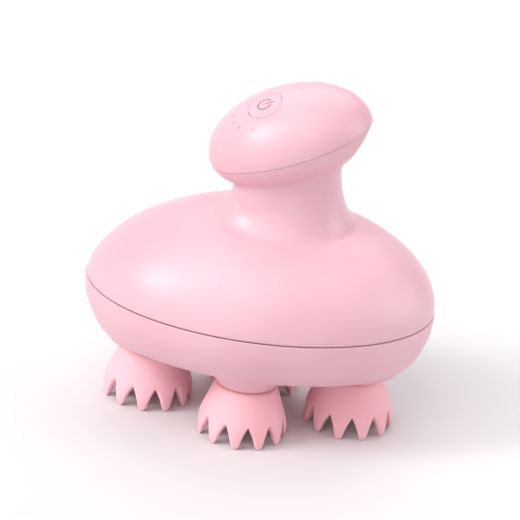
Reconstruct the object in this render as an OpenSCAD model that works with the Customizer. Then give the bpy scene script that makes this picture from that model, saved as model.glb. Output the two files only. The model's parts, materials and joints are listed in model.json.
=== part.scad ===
// Cordless electric scalp massager: oval body, tilted egg-shaped knob, four turning massage heads.
// Millimetres, +Z up, +X towards the high end of the knob, origin on the floor under the body centre.

/* [Body] */
// Length of the oval body
body_length = 125; // [122:0.5:127]
// Width of the oval body
body_width = 87; // [86:0.5:90]
// Height of the seam between the upper shell and the lower cover
seam_height = 46; // [46:0.1:46.5]
// Height of the dome above the seam
dome_rise = 32.5; // [32:0.25:34]
// Wall of the shells
wall = 2.4; // [2:0.1:2.6]
// Length of the flat underside of the lower cover
floor_length = 103; // [101:0.5:106]
// Height of the flat underside of the lower cover
floor_height = 26.4; // [26:0.1:26.8]
// Width of the gasket in the body seam
gasket_width = 0.7; // [0.6:0.05:0.75]
// Height of the gasket in the body seam
gasket_height = 1.4; // [1:0.1:1.6]

/* [Neck] */
// Distance of the neck behind the body centre
neck_offset = 4.6; // [4.2:0.1:5]
// Radius of the neck at its waist
neck_radius = 19.4; // [19:0.1:20]
// Width of the neck over its length
neck_ratio = 0.8; // [0.79:0.01:0.82]
// Height of the waist above the top of the motor
waist_room = 11.5; // [11:0.25:12.5]
// Length of the straight waist
waist_length = 6; // [4:0.5:7]
// Spread of the foot of the neck on the dome
foot_spread = 14; // [13:0.5:15]
// Depth of the foot of the neck below the top of the dome
foot_sink = 6.4; // [6.1:0.1:6.8]
// Spread of the neck under the knob
crown_spread = 13; // [12:0.5:13.5]
// Height of the spread under the knob
crown_rise = 18; // [17:0.5:19]

/* [Knob] */
// Length of the knob
knob_length = 59.6; // [59:0.2:61]
// Width of the knob
knob_width = 45; // [44.4:0.2:46]
// Height of the knob cap above the middle of the knob
cap_rise = 18.6; // [18.2:0.1:19]
// Height of the middle of the knob above the waist
knob_lift = 18.2; // [18:0.1:19]
// Slope of the knob from front to back
knob_tilt = 23.4; // [23:0.2:24]
// Distance of the knob seam below the middle of the knob
seam_drop = 0.5; // [0.4:0.1:0.8]
// Width of the seal in the knob seam
knob_seal_width = 0.9; // [0.7:0.1:1]

/* [Button and lights] */
// Radius of the power button
button_radius = 6.4; // [6:0.1:6.6]
// Position of the button along the knob
button_x = -3.5; // [-4:0.25:-3]
// Position of the button across the knob
button_y = -7; // [-7.5:0.25:-6.5]
// Gap round the button
button_gap = 0.15; // [0.1:0.05:0.2]
// Thickness of the button
button_thick = 3.2; // [3:0.1:3.4]
// Travel of the button
button_travel = 0.6; // [0.5:0.05:0.7]
// Depth of the power mark in the button
mark_depth = 0.25; // [0.2:0.05:0.3]
// Distance of the first light from the button centre
light_distance = 13; // [12.8:0.1:13.1]
// Radius of one light
light_radius = 0.55; // [0.45:0.05:0.65]
// Radius of the control board
board_radius = 13; // [12.6:0.1:13.2]
// Thickness of the control board
board_thick = 1.2; // [1:0.1:1.4]

/* [Massage heads] */
// Fingers on the rim of one head
finger_count = 11; // [10:1:12]
// Height of a finger from tip to root
finger_length = 8.4; // [8:0.1:9]
// Width of a finger at its tip
finger_tip = 2.6; // [2.4:0.1:3]
// Widest radius of a head
head_radius = 16; // [15.6:0.1:16.2]
// Height of a head above the floor
head_height = 18.2; // [18:0.1:18.3]
// Fingers in the inner ring of one head
inner_count = 6; // [5:1:7]
// Radius of the inner ring of fingers
inner_ring = 9; // [8.8:0.1:9.2]
// Clearance between a turning head and the cover
head_gap = 0.4; // [0.4:0.05:0.5]
// Radius of a head spindle
spindle_radius = 2; // [1.8:0.1:2.1]
// Radius of the rounded bosses over the front and back heads
boss_radius = 17.4; // [16.9:0.25:17.9]
// Radius of the rounded bosses over the near and far heads
side_boss_radius = 15.4; // [15:0.2:16]

/* [Gears] */
// Tooth size of the head train
head_module = 1; // [0.995:0.005:1.005]
// Play between meshing teeth
tooth_play = 0.16; // [0.12:0.02:0.2]
// Thickness of the head train gears
gear_thick = 5; // [4.5:0.25:5.25]
// Running clearance of a shaft in its bush
running_gap = 0.05; // [0.03:0.01:0.08]
// Thickness of the gear plate and the motor plate
plate_thick = 2.5; // [2.2:0.1:2.6]

/* [Motor and battery] */
// Radius of the motor can
motor_radius = 12; // [11.6:0.1:12.2]
// Length of the motor can
motor_length = 24; // [22:0.5:25]
// Radius of the battery cell
cell_radius = 7; // [6.8:0.1:7.1]
// Length of the battery cell
cell_length = 43; // [41:0.5:43.5]
// Radius of the charging plug hole
socket_radius = 1.8; // [1.75:0.05:1.9]
// Depth of the charging plug hole
socket_depth = 9; // [8.5:0.25:9.5]
// Radius of a lead wire
lead_radius = 0.7; // [0.6:0.05:0.8]

/* [Fasteners] */
// Radius of a screw shank
screw_radius = 1.1; // [1:0.05:1.2]
// Radius of a screw head
screw_head = 2.2; // [2:0.05:2.3]
// Height of a screw head
screw_head_height = 1.4; // [1.2:0.1:1.5]

/* [Hidden] */
$fn = 64;
over = 1;                       // overshoot of a cut
half_length = body_length / 2;
half_width = body_width / 2;
cap_a = knob_length / 2;
cap_b = knob_width / 2;
cut_size = 3 * body_length;
seal_inset = 0.8;
side_inset = 0.5;

centre_teeth = 16;
head_teeth = 24;
wheel_teeth = 48;
pinion_teeth = 16;
first_teeth = 54;
motor_teeth = 10;
pressure_angle = 20;
side_reach = (centre_teeth + head_teeth) * head_module / 2;
idler_reach = centre_teeth * head_module;
end_reach = idler_reach + side_reach;
fine_module = 2 * idler_reach / (wheel_teeth + pinion_teeth);
head_spots = [[-end_reach, 0], [end_reach, 0], [0, -side_reach], [0, side_reach]];

boss_top = floor_height + wall;
boss_bottom = head_height + head_gap;
gear_bottom = boss_top + 3.6;
gear_top = gear_bottom + gear_thick;
plate_bottom = gear_top + 1.6;
plate_top = plate_bottom + plate_thick;
wheel_bottom = plate_top + 0.8;
wheel_thick = 3;
first_bottom = wheel_bottom + wheel_thick + 1;
first_thick = 2.5;
hub_bottom = gear_bottom - 0.4;
hub_top = gear_top + 1.4;
deck_bottom = first_bottom + first_thick + 1.2;
deck_top = deck_bottom + plate_thick;
motor_top = deck_top + motor_length;
waist_height = motor_top + waist_room;
foot_drop = waist_height - (seam_height + dome_rise - foot_sink);
knob_height = waist_height + knob_lift;
end_cap_thick = 3;
motor_shaft_radius = 1;
pin_radius = 1.5;
centre_shaft_radius = 2;
bush_wall = 1.5;
seal_height = 2;                // height of the seals round the spindles
seat_height = 3;                // height of the bearing seats on the floor of the cover
bush_radius = spindle_radius + bush_wall;
post_x = 18;
post_y = 20;
post_radius = 3;
mast_x = 24.8;
mast_y = 25.6;
mast_radius = 3.2;
screw_stand = 0.4;              // how far the cover screws stand out of their seats
core_radius = 6;
core_bottom = 12.6;
crown_ceiling = 13.4;
cell_x = -31;
cell_z = plate_top + 1.5 + cell_radius;
socket_x = 0;
socket_z = seam_height + 10;
socket_body = 4.5;
socket_rim = 1.2;
socket_room = 4;
socket_length = wall + 8.4;
seal_wall = 0.6;
tag_reach = 1;
tag_radius = 0.45;
tag_length = 1;
socket_mouth = half_width * sqrt(1 - pow(socket_x / half_length, 2) -
    pow((socket_z - seam_height) / dome_rise, 2));
socket_back = socket_mouth - wall - socket_room - 5;
neck_side = neck_offset - neck_radius + wall;
neck_far = (neck_radius - wall) * neck_ratio;

// Half the angle a tooth fills at a radius, for an involute tooth.
function involute(a) = tan(a) * 180 / PI - a;
function tooth_half(r, teeth, pitch, play) =
    90 / teeth - play / pitch * 45 / PI + involute(pressure_angle)
    - involute(acos(min(1, pitch * cos(pressure_angle) / r)));
function polar(r, a) = [r * cos(a), r * sin(a)];
function gear_radii(pitch, size) = let (base = max(pitch - size, pitch * cos(pressure_angle)))
    [pitch - 1.25 * size, base, (base + pitch) / 2, pitch + size / 3, pitch + 0.92 * size];
function gear_points(teeth, size, turn, play) =
    let (pitch = teeth * size / 2, radii = gear_radii(pitch, size), last = len(radii) - 1)
    [for (k = [0:teeth - 1]) each concat(
        [for (i = [0:last]) polar(radii[i], turn + k * 360 / teeth -
            tooth_half(radii[i], teeth, pitch, play))],
        [for (i = [last:-1:0]) polar(radii[i], turn + k * 360 / teeth +
            tooth_half(radii[i], teeth, pitch, play))])];

// Height and lean of the knob surface at a place on its plan.
function cap_level(x, y, inset = 0) = (cap_rise - inset)
    * sqrt(1 - pow(x / (cap_a - inset), 2) - pow(y / (cap_b - inset), 2));
button_level = cap_level(button_x, button_y);
button_lean = atan2(-button_y / pow(cap_b, 2), button_level / pow(cap_rise, 2));
button_dip = atan2(button_x / pow(cap_a, 2), button_level / pow(cap_rise, 2));
light_angles = [171, 189, 208, 240];
light_draw = 0.032;             // how much nearer the button each light lies, per degree
function light_reach(a) = light_distance - (a - light_angles[0]) * light_draw;

foot_start = 20;
foot_steps = 7;
crown_end = 40;
under_slope = 0.456;
under_shift = -10;
under_reach = knob_length / 2 + neck_offset + 1.9 - under_shift;
under_low = 80;
function neck_outline(inset) = concat(
    [[0, waist_height - foot_drop - over]],
    [[neck_radius + foot_spread * (1 - sin(foot_start)) - inset, waist_height - foot_drop - over]],
    [for (i = [0:foot_steps]) let (t = foot_start + (90 - foot_start) * i / foot_steps)
        [neck_radius - inset + foot_spread * (1 - sin(t)), waist_height - foot_drop * cos(t)]],
    [for (i = [0:foot_steps]) let (t = 90 - (90 - crown_end) * i / foot_steps)
        [neck_radius - inset + crown_spread * (1 - sin(t)), waist_height + waist_length + crown_rise *
            cos(t)]],
    [[0, waist_height + waist_length + crown_rise * cos(crown_end)]]);

// An ellipsoid from its three half axes.
module egg(a, b, c) {
    scale([1, b / a, c / a]) sphere(r = a, $fn = 96);
}

// Puts children in the frame of the knob, with +Z square to its seam.
module on_knob() {
    translate([neck_offset, 0, knob_height]) rotate([0, -knob_tilt, 0]) children();
}

// Puts children in the frame of the button, with +Z out along its travel.
module on_button() {
    on_knob() translate([button_x, button_y, button_level]) rotate([button_lean, button_dip, 0]) children();
}

module upper_half(level) {
    translate([0, 0, level + cut_size / 2]) cube(cut_size, center = true);
}

module lower_half(level) {
    translate([0, 0, level - cut_size / 2]) cube(cut_size, center = true);
}

module tube(outer, inner, height) {
    difference() {
        cylinder(r = outer, h = height);
        translate([0, 0, -over]) cylinder(r = inner, h = height + 2 * over);
    }
}

// An oval ring that lies on the XY plane, of that width at its ends.
module oval_ring(a, b, width, height) {
    scale([1, b / a, 1]) rotate_extrude($fn = 120) translate([a - width, 0]) square([width, height]);
}

// A rod between two points.
module rod(from, to, radius) {
    path = to - from;
    length = norm(path);
    translate(from) rotate([0, acos(path[2] / length), atan2(path[1], path[0])])
        cylinder(r = radius, h = length);
}

module lead(points, radius) {
    for (i = [0:len(points) - 2]) rod(points[i], points[i + 1], radius);
    for (i = [1:len(points) - 2]) translate(points[i]) sphere(r = 1.1 * radius, $fn = 24);
}

module screw(length) {
    cylinder(r = screw_head, h = screw_head_height);
    translate([0, 0, screw_head_height - 0.1]) cylinder(r = screw_radius, h = length + 0.1);
}

// A pan screw with a cross slot, head down.
module slotted_screw(length) {
    difference() {
        screw(length);
        for (a = [0, 90]) rotate(a) cube([screw_head * 1.3, 0.5, 1.2], center = true);
    }
}

module toothed_disc(teeth, size, turn, thick) {
    linear_extrude(height = thick) polygon(gear_points(teeth, size, turn, tooth_play * sqrt(size)));
}

module gear(teeth, size, turn, thick, bore) {
    difference() {
        toothed_disc(teeth, size, turn, thick);
        translate([0, 0, -over]) cylinder(r = bore, h = thick + 2 * over);
    }
}

module dome_form(inset) {
    translate([0, 0, seam_height]) egg(half_length - inset, half_width - inset, dome_rise - inset);
}

module neck_form(inset) {
    translate([neck_offset, 0, 0]) scale([1, neck_ratio, 1]) rotate_extrude() polygon(neck_outline(inset));
}

// Underside of the knob: the egg, trimmed by a leaning cone at its high end.
module under_form(inset) {
    intersection() {
        on_knob() egg(cap_a - inset, cap_b - inset, cap_rise - inset);
        translate([under_shift, 0, under_low]) scale([1, neck_ratio, 1])
            cylinder(r1 = under_reach - inset - (knob_height + 8 - under_low) * under_slope,
                r2 = under_reach - inset + 6 * under_slope, h = knob_height + 14 - under_low);
    }
}

// Posts that take the cover screws, cut off by the dome.
module cover_masts() {
    intersection() {
        for (x = [-mast_x, mast_x], y = [-mast_y, mast_y])
            translate([x, y, boss_top]) cylinder(r = mast_radius, h = dome_rise + seam_height - boss_top);
        translate([0, 0, seam_height]) union() {
            egg(half_length - wall / 2, half_width - wall / 2, dome_rise - wall / 2);
            translate([0, 0, -seam_height / 2]) cube([body_length, body_width, seam_height], center = true);
        }
    }
}

module upper_shell() color("pink") {
    difference() {
        union() {
            difference() {
                union() {
                    intersection() {
                        dome_form(0);
                        upper_half(seam_height);
                    }
                    intersection() {
                        union() {
                            neck_form(0);
                            under_form(0);
                        }
                        on_knob() lower_half(-seam_drop);
                    }
                }
                dome_form(wall);
                neck_form(wall);
                under_form(wall);
            }
            cover_masts();
            socket_pad();
        }
        for (x = [-mast_x, mast_x], y = [-mast_y, mast_y])
            translate([x, y, boss_top - over]) cylinder(r = screw_radius, h = 12 + over);
        on_socket() translate([0, 0, socket_room]) cylinder(r = socket_body, h = wall + 5 + over);
        on_knob() translate([0, 0, -seam_drop - gasket_height])
            oval_ring(cap_a - seal_inset, cap_b - seal_inset, knob_seal_width, gasket_height + over);
    }
}

// Thick pad in the dome wall that carries the charging socket.
module socket_pad() {
    intersection() {
        dome_form(wall / 2);
        on_socket() translate([0, 0, socket_room])
            cylinder(r = socket_body + socket_rim + 0.6, h = wall + 5 + over);
    }
}

module knob_cap() color("pink") {
    difference() {
        union() {
            difference() {
                intersection() {
                    on_knob() egg(cap_a, cap_b, cap_rise);
                    on_knob() upper_half(-seam_drop);
                }
                on_knob() egg(cap_a - wall, cap_b - wall, cap_rise - wall);
            }
            intersection() {
                on_knob() egg(cap_a - wall / 2, cap_b - wall / 2, cap_rise - wall / 2);
                union() {
                    on_button() translate([0, 0, -button_thick])
                        cylinder(r = button_radius + guide_wall, h = button_thick);
                    board_pegs();
                }
            }
        }
        on_button() translate([0, 0, -button_thick - over])
            cylinder(r = button_radius + button_gap, h = button_thick + 4 * over);
        on_button() translate([0, 0, -button_thick - 3 * over])
            cylinder(r = button_radius + flange_spread + flange_room, h = 3 * over);
        on_button() for (a = light_angles) rotate(a)
            translate([light_reach(a), 0, -button_thick - 4 * over])
            cylinder(r = light_radius, h = button_thick + 8 * over);
        on_button() for (s = board_spots) translate([s[0], s[1], -board_depth])
            cylinder(r = peg_bore, h = 5 * over);
    }
}

flange_spread = 1.4;
flange_room = 0.4;
flange_thick = 0.95;
flange_drop = button_thick + 1;
stem_radius = 1.6;
stem_drop = button_thick + 1.3;
guide_wall = 2.6;
peg_radius = 1.8;
peg_bore = screw_radius - 0.3;
chip_length = 1.6;
chip_width = 1;
chip_height = 1;
switch_width = 6;
switch_top = stem_drop + button_travel + 0.6;
plunger_radius = 1.7;
plunger_top = stem_drop + button_travel + 0.05;
board_depth = 8.4;
board_shift = [-3, 1];
board_spots = [[0.5, 10.2], [-2, -10]];

module board_pegs() {
    on_button() for (s = board_spots) translate([s[0], s[1], -board_depth])
        cylinder(r = peg_radius, h = board_depth);
}

// Grooves of the power mark: an open circle and a short bar in its opening.
mark_radius = 2.85;
mark_width = 0.5;
mark_opening = 1.8;
module power_mark() {
    rotate(90) {
        difference() {
            circle(r = mark_radius + mark_width / 2);
            circle(r = mark_radius - mark_width / 2);
            translate([0, -mark_radius]) square([mark_opening, mark_radius], center = true);
        }
        translate([0, -mark_radius * 0.85]) square([mark_width, mark_radius * 0.9], center = true);
    }
}

module power_button() color("pink") {
    difference() {
        union() {
            intersection() {
                on_knob() egg(cap_a, cap_b, cap_rise);
                on_button() translate([0, 0, -button_thick - button_gap])
                    cylinder(r = button_radius, h = 3 * button_thick);
            }
            on_button() translate([0, 0, -flange_drop])
                cylinder(r = button_radius + flange_spread, h = flange_thick);
            on_button() translate([0, 0, -stem_drop]) cylinder(r = stem_radius, h = stem_drop - button_thick);
        }
        on_button() translate([0, 0, -mark_depth]) linear_extrude(height = 2 * over) power_mark();
    }
}

module led_lenses() color("white") {
    intersection() {
        on_knob() egg(cap_a, cap_b, cap_rise);
        on_button() for (a = light_angles) rotate(a)
            translate([light_reach(a), 0, -board_depth + chip_height])
                cylinder(r = light_radius, h = board_depth + 4 * over);
    }
}

module control_board() color("green") {
    on_button() difference() {
        translate([board_shift[0], board_shift[1], -board_depth - board_thick])
            cylinder(r = board_radius, h = board_thick);
        for (s = board_spots) translate([s[0], s[1], -board_depth - board_thick - over])
            cylinder(r = screw_radius, h = board_thick + 2 * over);
    }
}

module tact_switch() color("silver") {
    on_button() translate([0, 0, -board_depth]) {
        translate([-switch_width / 2, -switch_width / 2, 0])
            cube([switch_width, switch_width, board_depth - switch_top]);
        cylinder(r = plunger_radius, h = board_depth - plunger_top);
    }
}

module led_chips() color("white") {
    on_button() for (a = light_angles) rotate(a) translate([light_reach(a), 0, -board_depth])
        translate([-chip_length / 2, -chip_width / 2, 0]) cube([chip_length, chip_width, chip_height - 0.1]);
}

// Corner and size of each chip under the board.
chips = [[[-4, -3], [6, 5, 1.5]], [[4, 1], [3, 3, 1]], [[-7, 4], [4, 2.4, 1.2]],
    [[3, -6], [2, 1.2, 0.8]], [[6.4, -4], [2, 1.2, 0.8]]];
module board_chips() color("black") {
    on_button() translate([board_shift[0], board_shift[1], -board_depth - board_thick])
        for (c = chips) translate([c[0][0], c[0][1], -c[1][2]]) cube(c[1]);
}

module board_screws() color("silver") {
    on_button() for (s = board_spots) translate([s[0], s[1], -board_depth - board_thick]) {
        translate([0, 0, -screw_head_height]) cylinder(r = peg_radius, h = screw_head_height);
        translate([0, 0, -0.1]) cylinder(r = peg_bore, h = board_thick + 4 * over);
    }
}

module knob_seal() color("gray") {
    on_knob() translate([0, 0, -seam_drop - gasket_height])
        oval_ring(cap_a - seal_inset, cap_b - seal_inset, knob_seal_width, gasket_height);
}

module body_gasket() color("gray") {
    translate([0, 0, seam_height - gasket_height])
        oval_ring(half_length - seal_inset, half_width - side_inset, gasket_width, gasket_height);
}

// Outline of the lower cover from its seam to just past its flat floor, which cuts it off.
cover_steps = 9;
cover_fullness = 2.3;
function cover_outline(inset) =
    let (drop = seam_height - floor_height - inset, spread = half_length - floor_length / 2)
    let (top = seam_height + (inset > 0 ? over : 0), first = inset > 0 ? 0 : 1)
    concat([for (i = [cover_steps:-1:first]) let (s = i / (cover_steps - 0.5))
            [half_length - spread * pow(s, cover_fullness) - inset, seam_height - drop * s]],
        [[half_length - inset, top], [0, top], [0, seam_height - drop * cover_steps / (cover_steps - 0.5)]]);

module cover_form(inset) {
    intersection() {
        scale([1, half_width / half_length, 1]) rotate_extrude($fn = 96) polygon(cover_outline(inset));
        upper_half(floor_height + inset);
    }
}

boss_steps = 6;
boss_roll = 6.4;
module boss_form(radius) {
    rotate_extrude() polygon(concat([[0, boss_bottom]],
        [for (i = [0:boss_steps]) let (t = 90 * i / boss_steps)
            [radius - boss_roll * (1 - sin(t)), floor_height - (floor_height - boss_bottom) * cos(t)]],
        [[radius - 2, boss_top], [0, boss_top]]));
}

module lower_cover() color("pink") {
    difference() {
        union() {
            difference() {
                union() {
                    cover_form(0);
                    for (p = head_spots) translate([p[0], p[1], 0])
                        boss_form(p[1] == 0 ? boss_radius : side_boss_radius);
                }
                cover_form(wall);
            }
            for (p = concat(head_spots, [[0, 0]])) translate([p[0], p[1], boss_top - over])
                cylinder(r = bush_radius + 2, h = seat_height + over);
            for (x = [-idler_reach, idler_reach]) translate([x, 0, boss_top - over])
                cylinder(r = pin_radius + 2.5, h = seat_height + over);
            for (x = [-post_x, post_x], y = [-post_y, post_y])
                translate([x, y, boss_top - over])
                    cylinder(r = post_radius, h = plate_bottom - boss_top + over);
        }
        for (p = head_spots) translate([p[0], p[1], boss_bottom - over])
            cylinder(r = bush_radius, h = boss_top - boss_bottom + seat_height + 2 * over);
        translate([0, 0, boss_top]) cylinder(r = bush_radius, h = seat_height + over);
        for (x = [-idler_reach, idler_reach]) translate([x, 0, boss_top])
            cylinder(r = pin_radius, h = seat_height + over);
        for (x = [-post_x, post_x], y = [-post_y, post_y])
            translate([x, y, boss_top + 1]) cylinder(r = screw_radius, h = plate_bottom);
        for (x = [-mast_x, mast_x], y = [-mast_y, mast_y]) {
            translate([x, y, floor_height - 2 * over]) cylinder(r = screw_radius, h = 4 * wall);
            translate([x, y, floor_height - 10 * over])
                cylinder(r = screw_head + 0.2, h = 10 * over + screw_head_height - screw_stand);
        }
        translate([0, 0, seam_height - gasket_height])
            oval_ring(half_length - seal_inset, half_width - side_inset, gasket_width, gasket_height + over);
    }
}

// One soft bell with tapered fingers round its rim, standing on the floor.
crown_wall = 3.4;
gap_belly = 0.68;
gap_middle = 0.45;
module crown_profile() {
    inner = head_radius - crown_wall;
    polygon([[core_radius - 2, crown_ceiling + 1], [core_radius - 2, head_height - 0.6],
        [spindle_radius + 0.4, head_height - 0.6], [spindle_radius + 0.4, head_height],
        [head_radius - 7, head_height], [head_radius - 6.2, head_height - 0.6],
        [head_radius - 4.5, 14.8], [head_radius - 2.8, 11.8], [head_radius - 1.1, 9.1],
        [head_radius, 5.4], [head_radius, 3.4], [head_radius - 0.4, 1.4],
        [head_radius - 0.9, 0.4], [head_radius - 1.5, 0], [head_radius - 2.1, 0],
        [head_radius - 2.8, 0.4], [head_radius - 3.2, 1.4], [inner, 3.4], [inner, 6],
        [inner - 0.8, 9.6], [inner - 2.4, 12.4], [inner - 3.4, crown_ceiling],
        [core_radius, crown_ceiling], [core_radius, crown_ceiling + 1]]);
}

module finger_gap() {
    root = finger_length;
    open = PI * (head_radius - 1.5) / finger_count - finger_tip / 2;
    rotate([90, 0, 90]) linear_extrude(height = head_radius + 4)
        polygon([[-open - 1.1, -over], [-open - 0.6, 0.2], [-open, 1.1],
            [-open * gap_belly, root * gap_middle], [-0.7, root - 0.6], [-0.3, root],
            [0.3, root], [0.7, root - 0.6], [open * gap_belly, root * gap_middle],
            [open, 1.1], [open + 0.6, 0.2], [open + 1.1, -over]]);
}

module crown(turn) {
    rotate(turn) {
        difference() {
            rotate_extrude() crown_profile();
            for (k = [0:finger_count - 1]) rotate((k + 0.5) * 360 / finger_count) finger_gap();
        }
        for (k = [0:inner_count - 1]) rotate(k * 360 / inner_count + 11) translate([inner_ring, 0, 0])
            rotate_extrude() polygon([[0, 0.9], [0.6, 1], [1, 1.3], [1.2, 2], [1.9, crown_ceiling + 0.6],
                [0, crown_ceiling + 0.6]]);
    }
}

// Rigid core moulded into the crown, keyed on the spindle.
module head_core() {
    difference() {
        union() {
            translate([0, 0, core_bottom]) cylinder(r = core_radius, h = crown_ceiling + 1 - core_bottom);
            translate([0, 0, core_bottom]) cylinder(r = core_radius - 2, h = head_height - 0.6 -
                core_bottom);
        }
        translate([0, 0, core_bottom + 1.2]) keyed_rod(head_height);
        translate([0, 0, core_bottom - over]) cylinder(r = screw_radius, h = 4);
    }
}

// A round rod with a flat on one side.
module keyed_rod(length) {
    difference() {
        cylinder(r = spindle_radius, h = length);
        translate([spindle_radius - 0.4, -spindle_radius, -over])
            cube([spindle_radius, 2 * spindle_radius, length + 2 * over]);
    }
}

module spindle() {
    difference() {
        union() {
            translate([0, 0, core_bottom + 1.2]) keyed_rod(plate_top - core_bottom);
            translate([0, 0, head_height]) cylinder(r = spindle_radius, h = hub_bottom - head_height);
            translate([0, 0, hub_top]) cylinder(r = spindle_radius, h = plate_top - hub_top);
        }
        translate([0, 0, core_bottom]) cylinder(r = screw_radius, h = 7.4);
        translate([0, 0, plate_top]) cylinder(r = 2 * spindle_radius, h = 4);
    }
}

web_reach = 7.2;
web_hole = 1.8;
hub_radius = 4;
module head_gear(turn) {
    difference() {
        union() {
            translate([0, 0, gear_bottom]) toothed_disc(head_teeth, head_module, turn, gear_thick);
            translate([0, 0, hub_bottom]) cylinder(r = hub_radius, h = hub_top - hub_bottom);
        }
        translate([0, 0, gear_bottom - over]) keyed_rod(gear_thick + 4);
        for (k = [0:3]) rotate(45 + k * 90) translate([web_reach, 0, gear_bottom - over])
            cylinder(r = web_hole, h = gear_thick + 2 * over);
    }
}

module head_screw() {
    translate([0, 0, core_bottom - screw_head_height]) slotted_screw(7);
}

module massage_head_front() color("salmon") { translate([-end_reach, 0, 0]) crown(front_turn); }
module massage_head_back() color("salmon") { translate([end_reach, 0, 0]) crown(back_turn); }
module massage_head_near() color("salmon") { translate([0, -side_reach, 0]) crown(near_turn); }
module massage_head_far() color("salmon") { translate([0, side_reach, 0]) crown(far_turn); }
front_turn = 8;
back_turn = 2;
near_turn = 6;
far_turn = 12;

module head_core_front() color("ivory") { translate([-end_reach, 0, 0]) head_core(); }
module head_core_back() color("ivory") { translate([end_reach, 0, 0]) head_core(); }
module head_core_near() color("ivory") { translate([0, -side_reach, 0]) head_core(); }
module head_core_far() color("ivory") { translate([0, side_reach, 0]) head_core(); }

module spindle_front() color("silver") { translate([-end_reach, 0, 0]) spindle(); }
module spindle_back() color("silver") { translate([end_reach, 0, 0]) spindle(); }
module spindle_near() color("silver") { translate([0, -side_reach, 0]) spindle(); }
module spindle_far() color("silver") { translate([0, side_reach, 0]) spindle(); }

module head_gear_front() color("ivory") { translate([-end_reach, 0, 0]) head_gear(0); }
module head_gear_back() color("ivory") { translate([end_reach, 0, 0]) head_gear(0); }
module head_gear_near() color("ivory") { translate([0, -side_reach, 0]) head_gear(side_turn); }
module head_gear_far() color("ivory") { translate([0, side_reach, 0]) head_gear(side_turn); }
side_turn = 180 / head_teeth;

module head_screw_front() color("silver") { translate([-end_reach, 0, 0]) head_screw(); }
module head_screw_back() color("silver") { translate([end_reach, 0, 0]) head_screw(); }
module head_screw_near() color("silver") { translate([0, -side_reach, 0]) head_screw(); }
module head_screw_far() color("silver") { translate([0, side_reach, 0]) head_screw(); }

// Bushes pressed into the bosses of the lower cover.
module spindle_bushes() color("gold") {
    for (p = head_spots) translate([p[0], p[1], boss_bottom + seal_height])
        tube(bush_radius, spindle_radius + running_gap, boss_top + seat_height - boss_bottom - seal_height);
    translate([0, 0, boss_top]) tube(bush_radius, centre_shaft_radius + running_gap, seat_height);
}

module spindle_seals() color("gray") {
    for (p = head_spots) translate([p[0], p[1], boss_bottom])
        tube(bush_radius, spindle_radius + running_gap, seal_height);
}

module plate_bushes() color("gold") {
    for (p = head_spots) translate([p[0], p[1], plate_bottom])
        tube(bush_radius, spindle_radius + running_gap, plate_thick);
    translate([0, 0, plate_bottom]) tube(bush_radius, centre_shaft_radius + running_gap, plate_thick);
}

module centre_gear() color("ivory") {
    translate([0, 0, gear_bottom]) gear(centre_teeth, head_module, 0, gear_thick, centre_shaft_radius);
}

module centre_shaft() color("silver") {
    translate([0, 0, boss_top + 0.2]) cylinder(r = centre_shaft_radius, h = wheel_bottom + wheel_thick -
        boss_top - 0.2);
}

module reduction_wheel() color("ivory") {
    translate([0, 0, wheel_bottom]) gear(wheel_teeth, fine_module, 0, wheel_thick, centre_shaft_radius);
}

// Wheel and pinion in one piece, turning on the long pin over the back idler.
module compound_gear() color("ivory") {
    translate([idler_reach, 0, 0]) difference() {
        union() {
            translate([0, 0, wheel_bottom - 0.4])
                toothed_disc(pinion_teeth, fine_module, 180 / pinion_teeth, first_bottom -
                    wheel_bottom + 0.8);
            translate([0, 0, first_bottom]) toothed_disc(first_teeth, fine_module, 0, first_thick);
        }
        translate([0, 0, wheel_bottom - over]) cylinder(r = pin_radius + running_gap, h = first_bottom +
            first_thick);
    }
}

module motor_pinion() color("gold") {
    translate([0, 0, first_bottom - 0.4])
        gear(motor_teeth, fine_module, 180 / motor_teeth, first_thick + 0.8, motor_shaft_radius);
}

module motor_shaft() color("silver") {
    translate([0, 0, first_bottom - 0.4]) cylinder(r = motor_shaft_radius, h = motor_top -
        first_bottom + 1.4);
}

idler_turn = 180 / centre_teeth;
module idler_gear_front() color("ivory") {
    translate([-idler_reach, 0, gear_bottom]) gear(centre_teeth, head_module, idler_turn, gear_thick,
        pin_radius + running_gap);
}

module idler_gear_back() color("ivory") {
    translate([idler_reach, 0, gear_bottom]) gear(centre_teeth, head_module, idler_turn, gear_thick,
        pin_radius + running_gap);
}

// The back pin runs on up through the gear plate to carry the compound gear.
module idler_pins() color("silver") {
    for (p = [[-idler_reach, plate_top], [idler_reach, deck_top]]) translate([p[0], 0, boss_top]) {
        cylinder(r = pin_radius, h = p[1] - boss_top);
        translate([0, 0, 3]) cylinder(r = 3, h = gear_bottom - boss_top - 3.1);
    }
}

plate_end = 7.5;
module gear_plate() color("ivory") {
    difference() {
        translate([0, 0, plate_bottom]) linear_extrude(height = plate_thick) {
            square([2 * end_reach, 2 * plate_end], center = true);
            square([2 * (post_x + post_radius), 2 * (side_reach + 5)], center = true);
            for (x = [-end_reach, end_reach]) translate([x, 0]) circle(r = plate_end);
        }
        for (p = head_spots) translate([p[0], p[1], plate_bottom - over])
            cylinder(r = bush_radius, h = 2 * plate_thick);
        translate([0, 0, plate_bottom - over]) cylinder(r = bush_radius, h = 2 * plate_thick);
        for (x = [-idler_reach, idler_reach]) translate([x, 0, plate_bottom - over])
            cylinder(r = pin_radius, h = 2 * plate_thick);
        for (x = [-post_x, post_x], y = [-post_y, post_y])
            translate([x, y, plate_bottom - over]) cylinder(r = screw_radius, h = 2 * plate_thick);
    }
}

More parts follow.
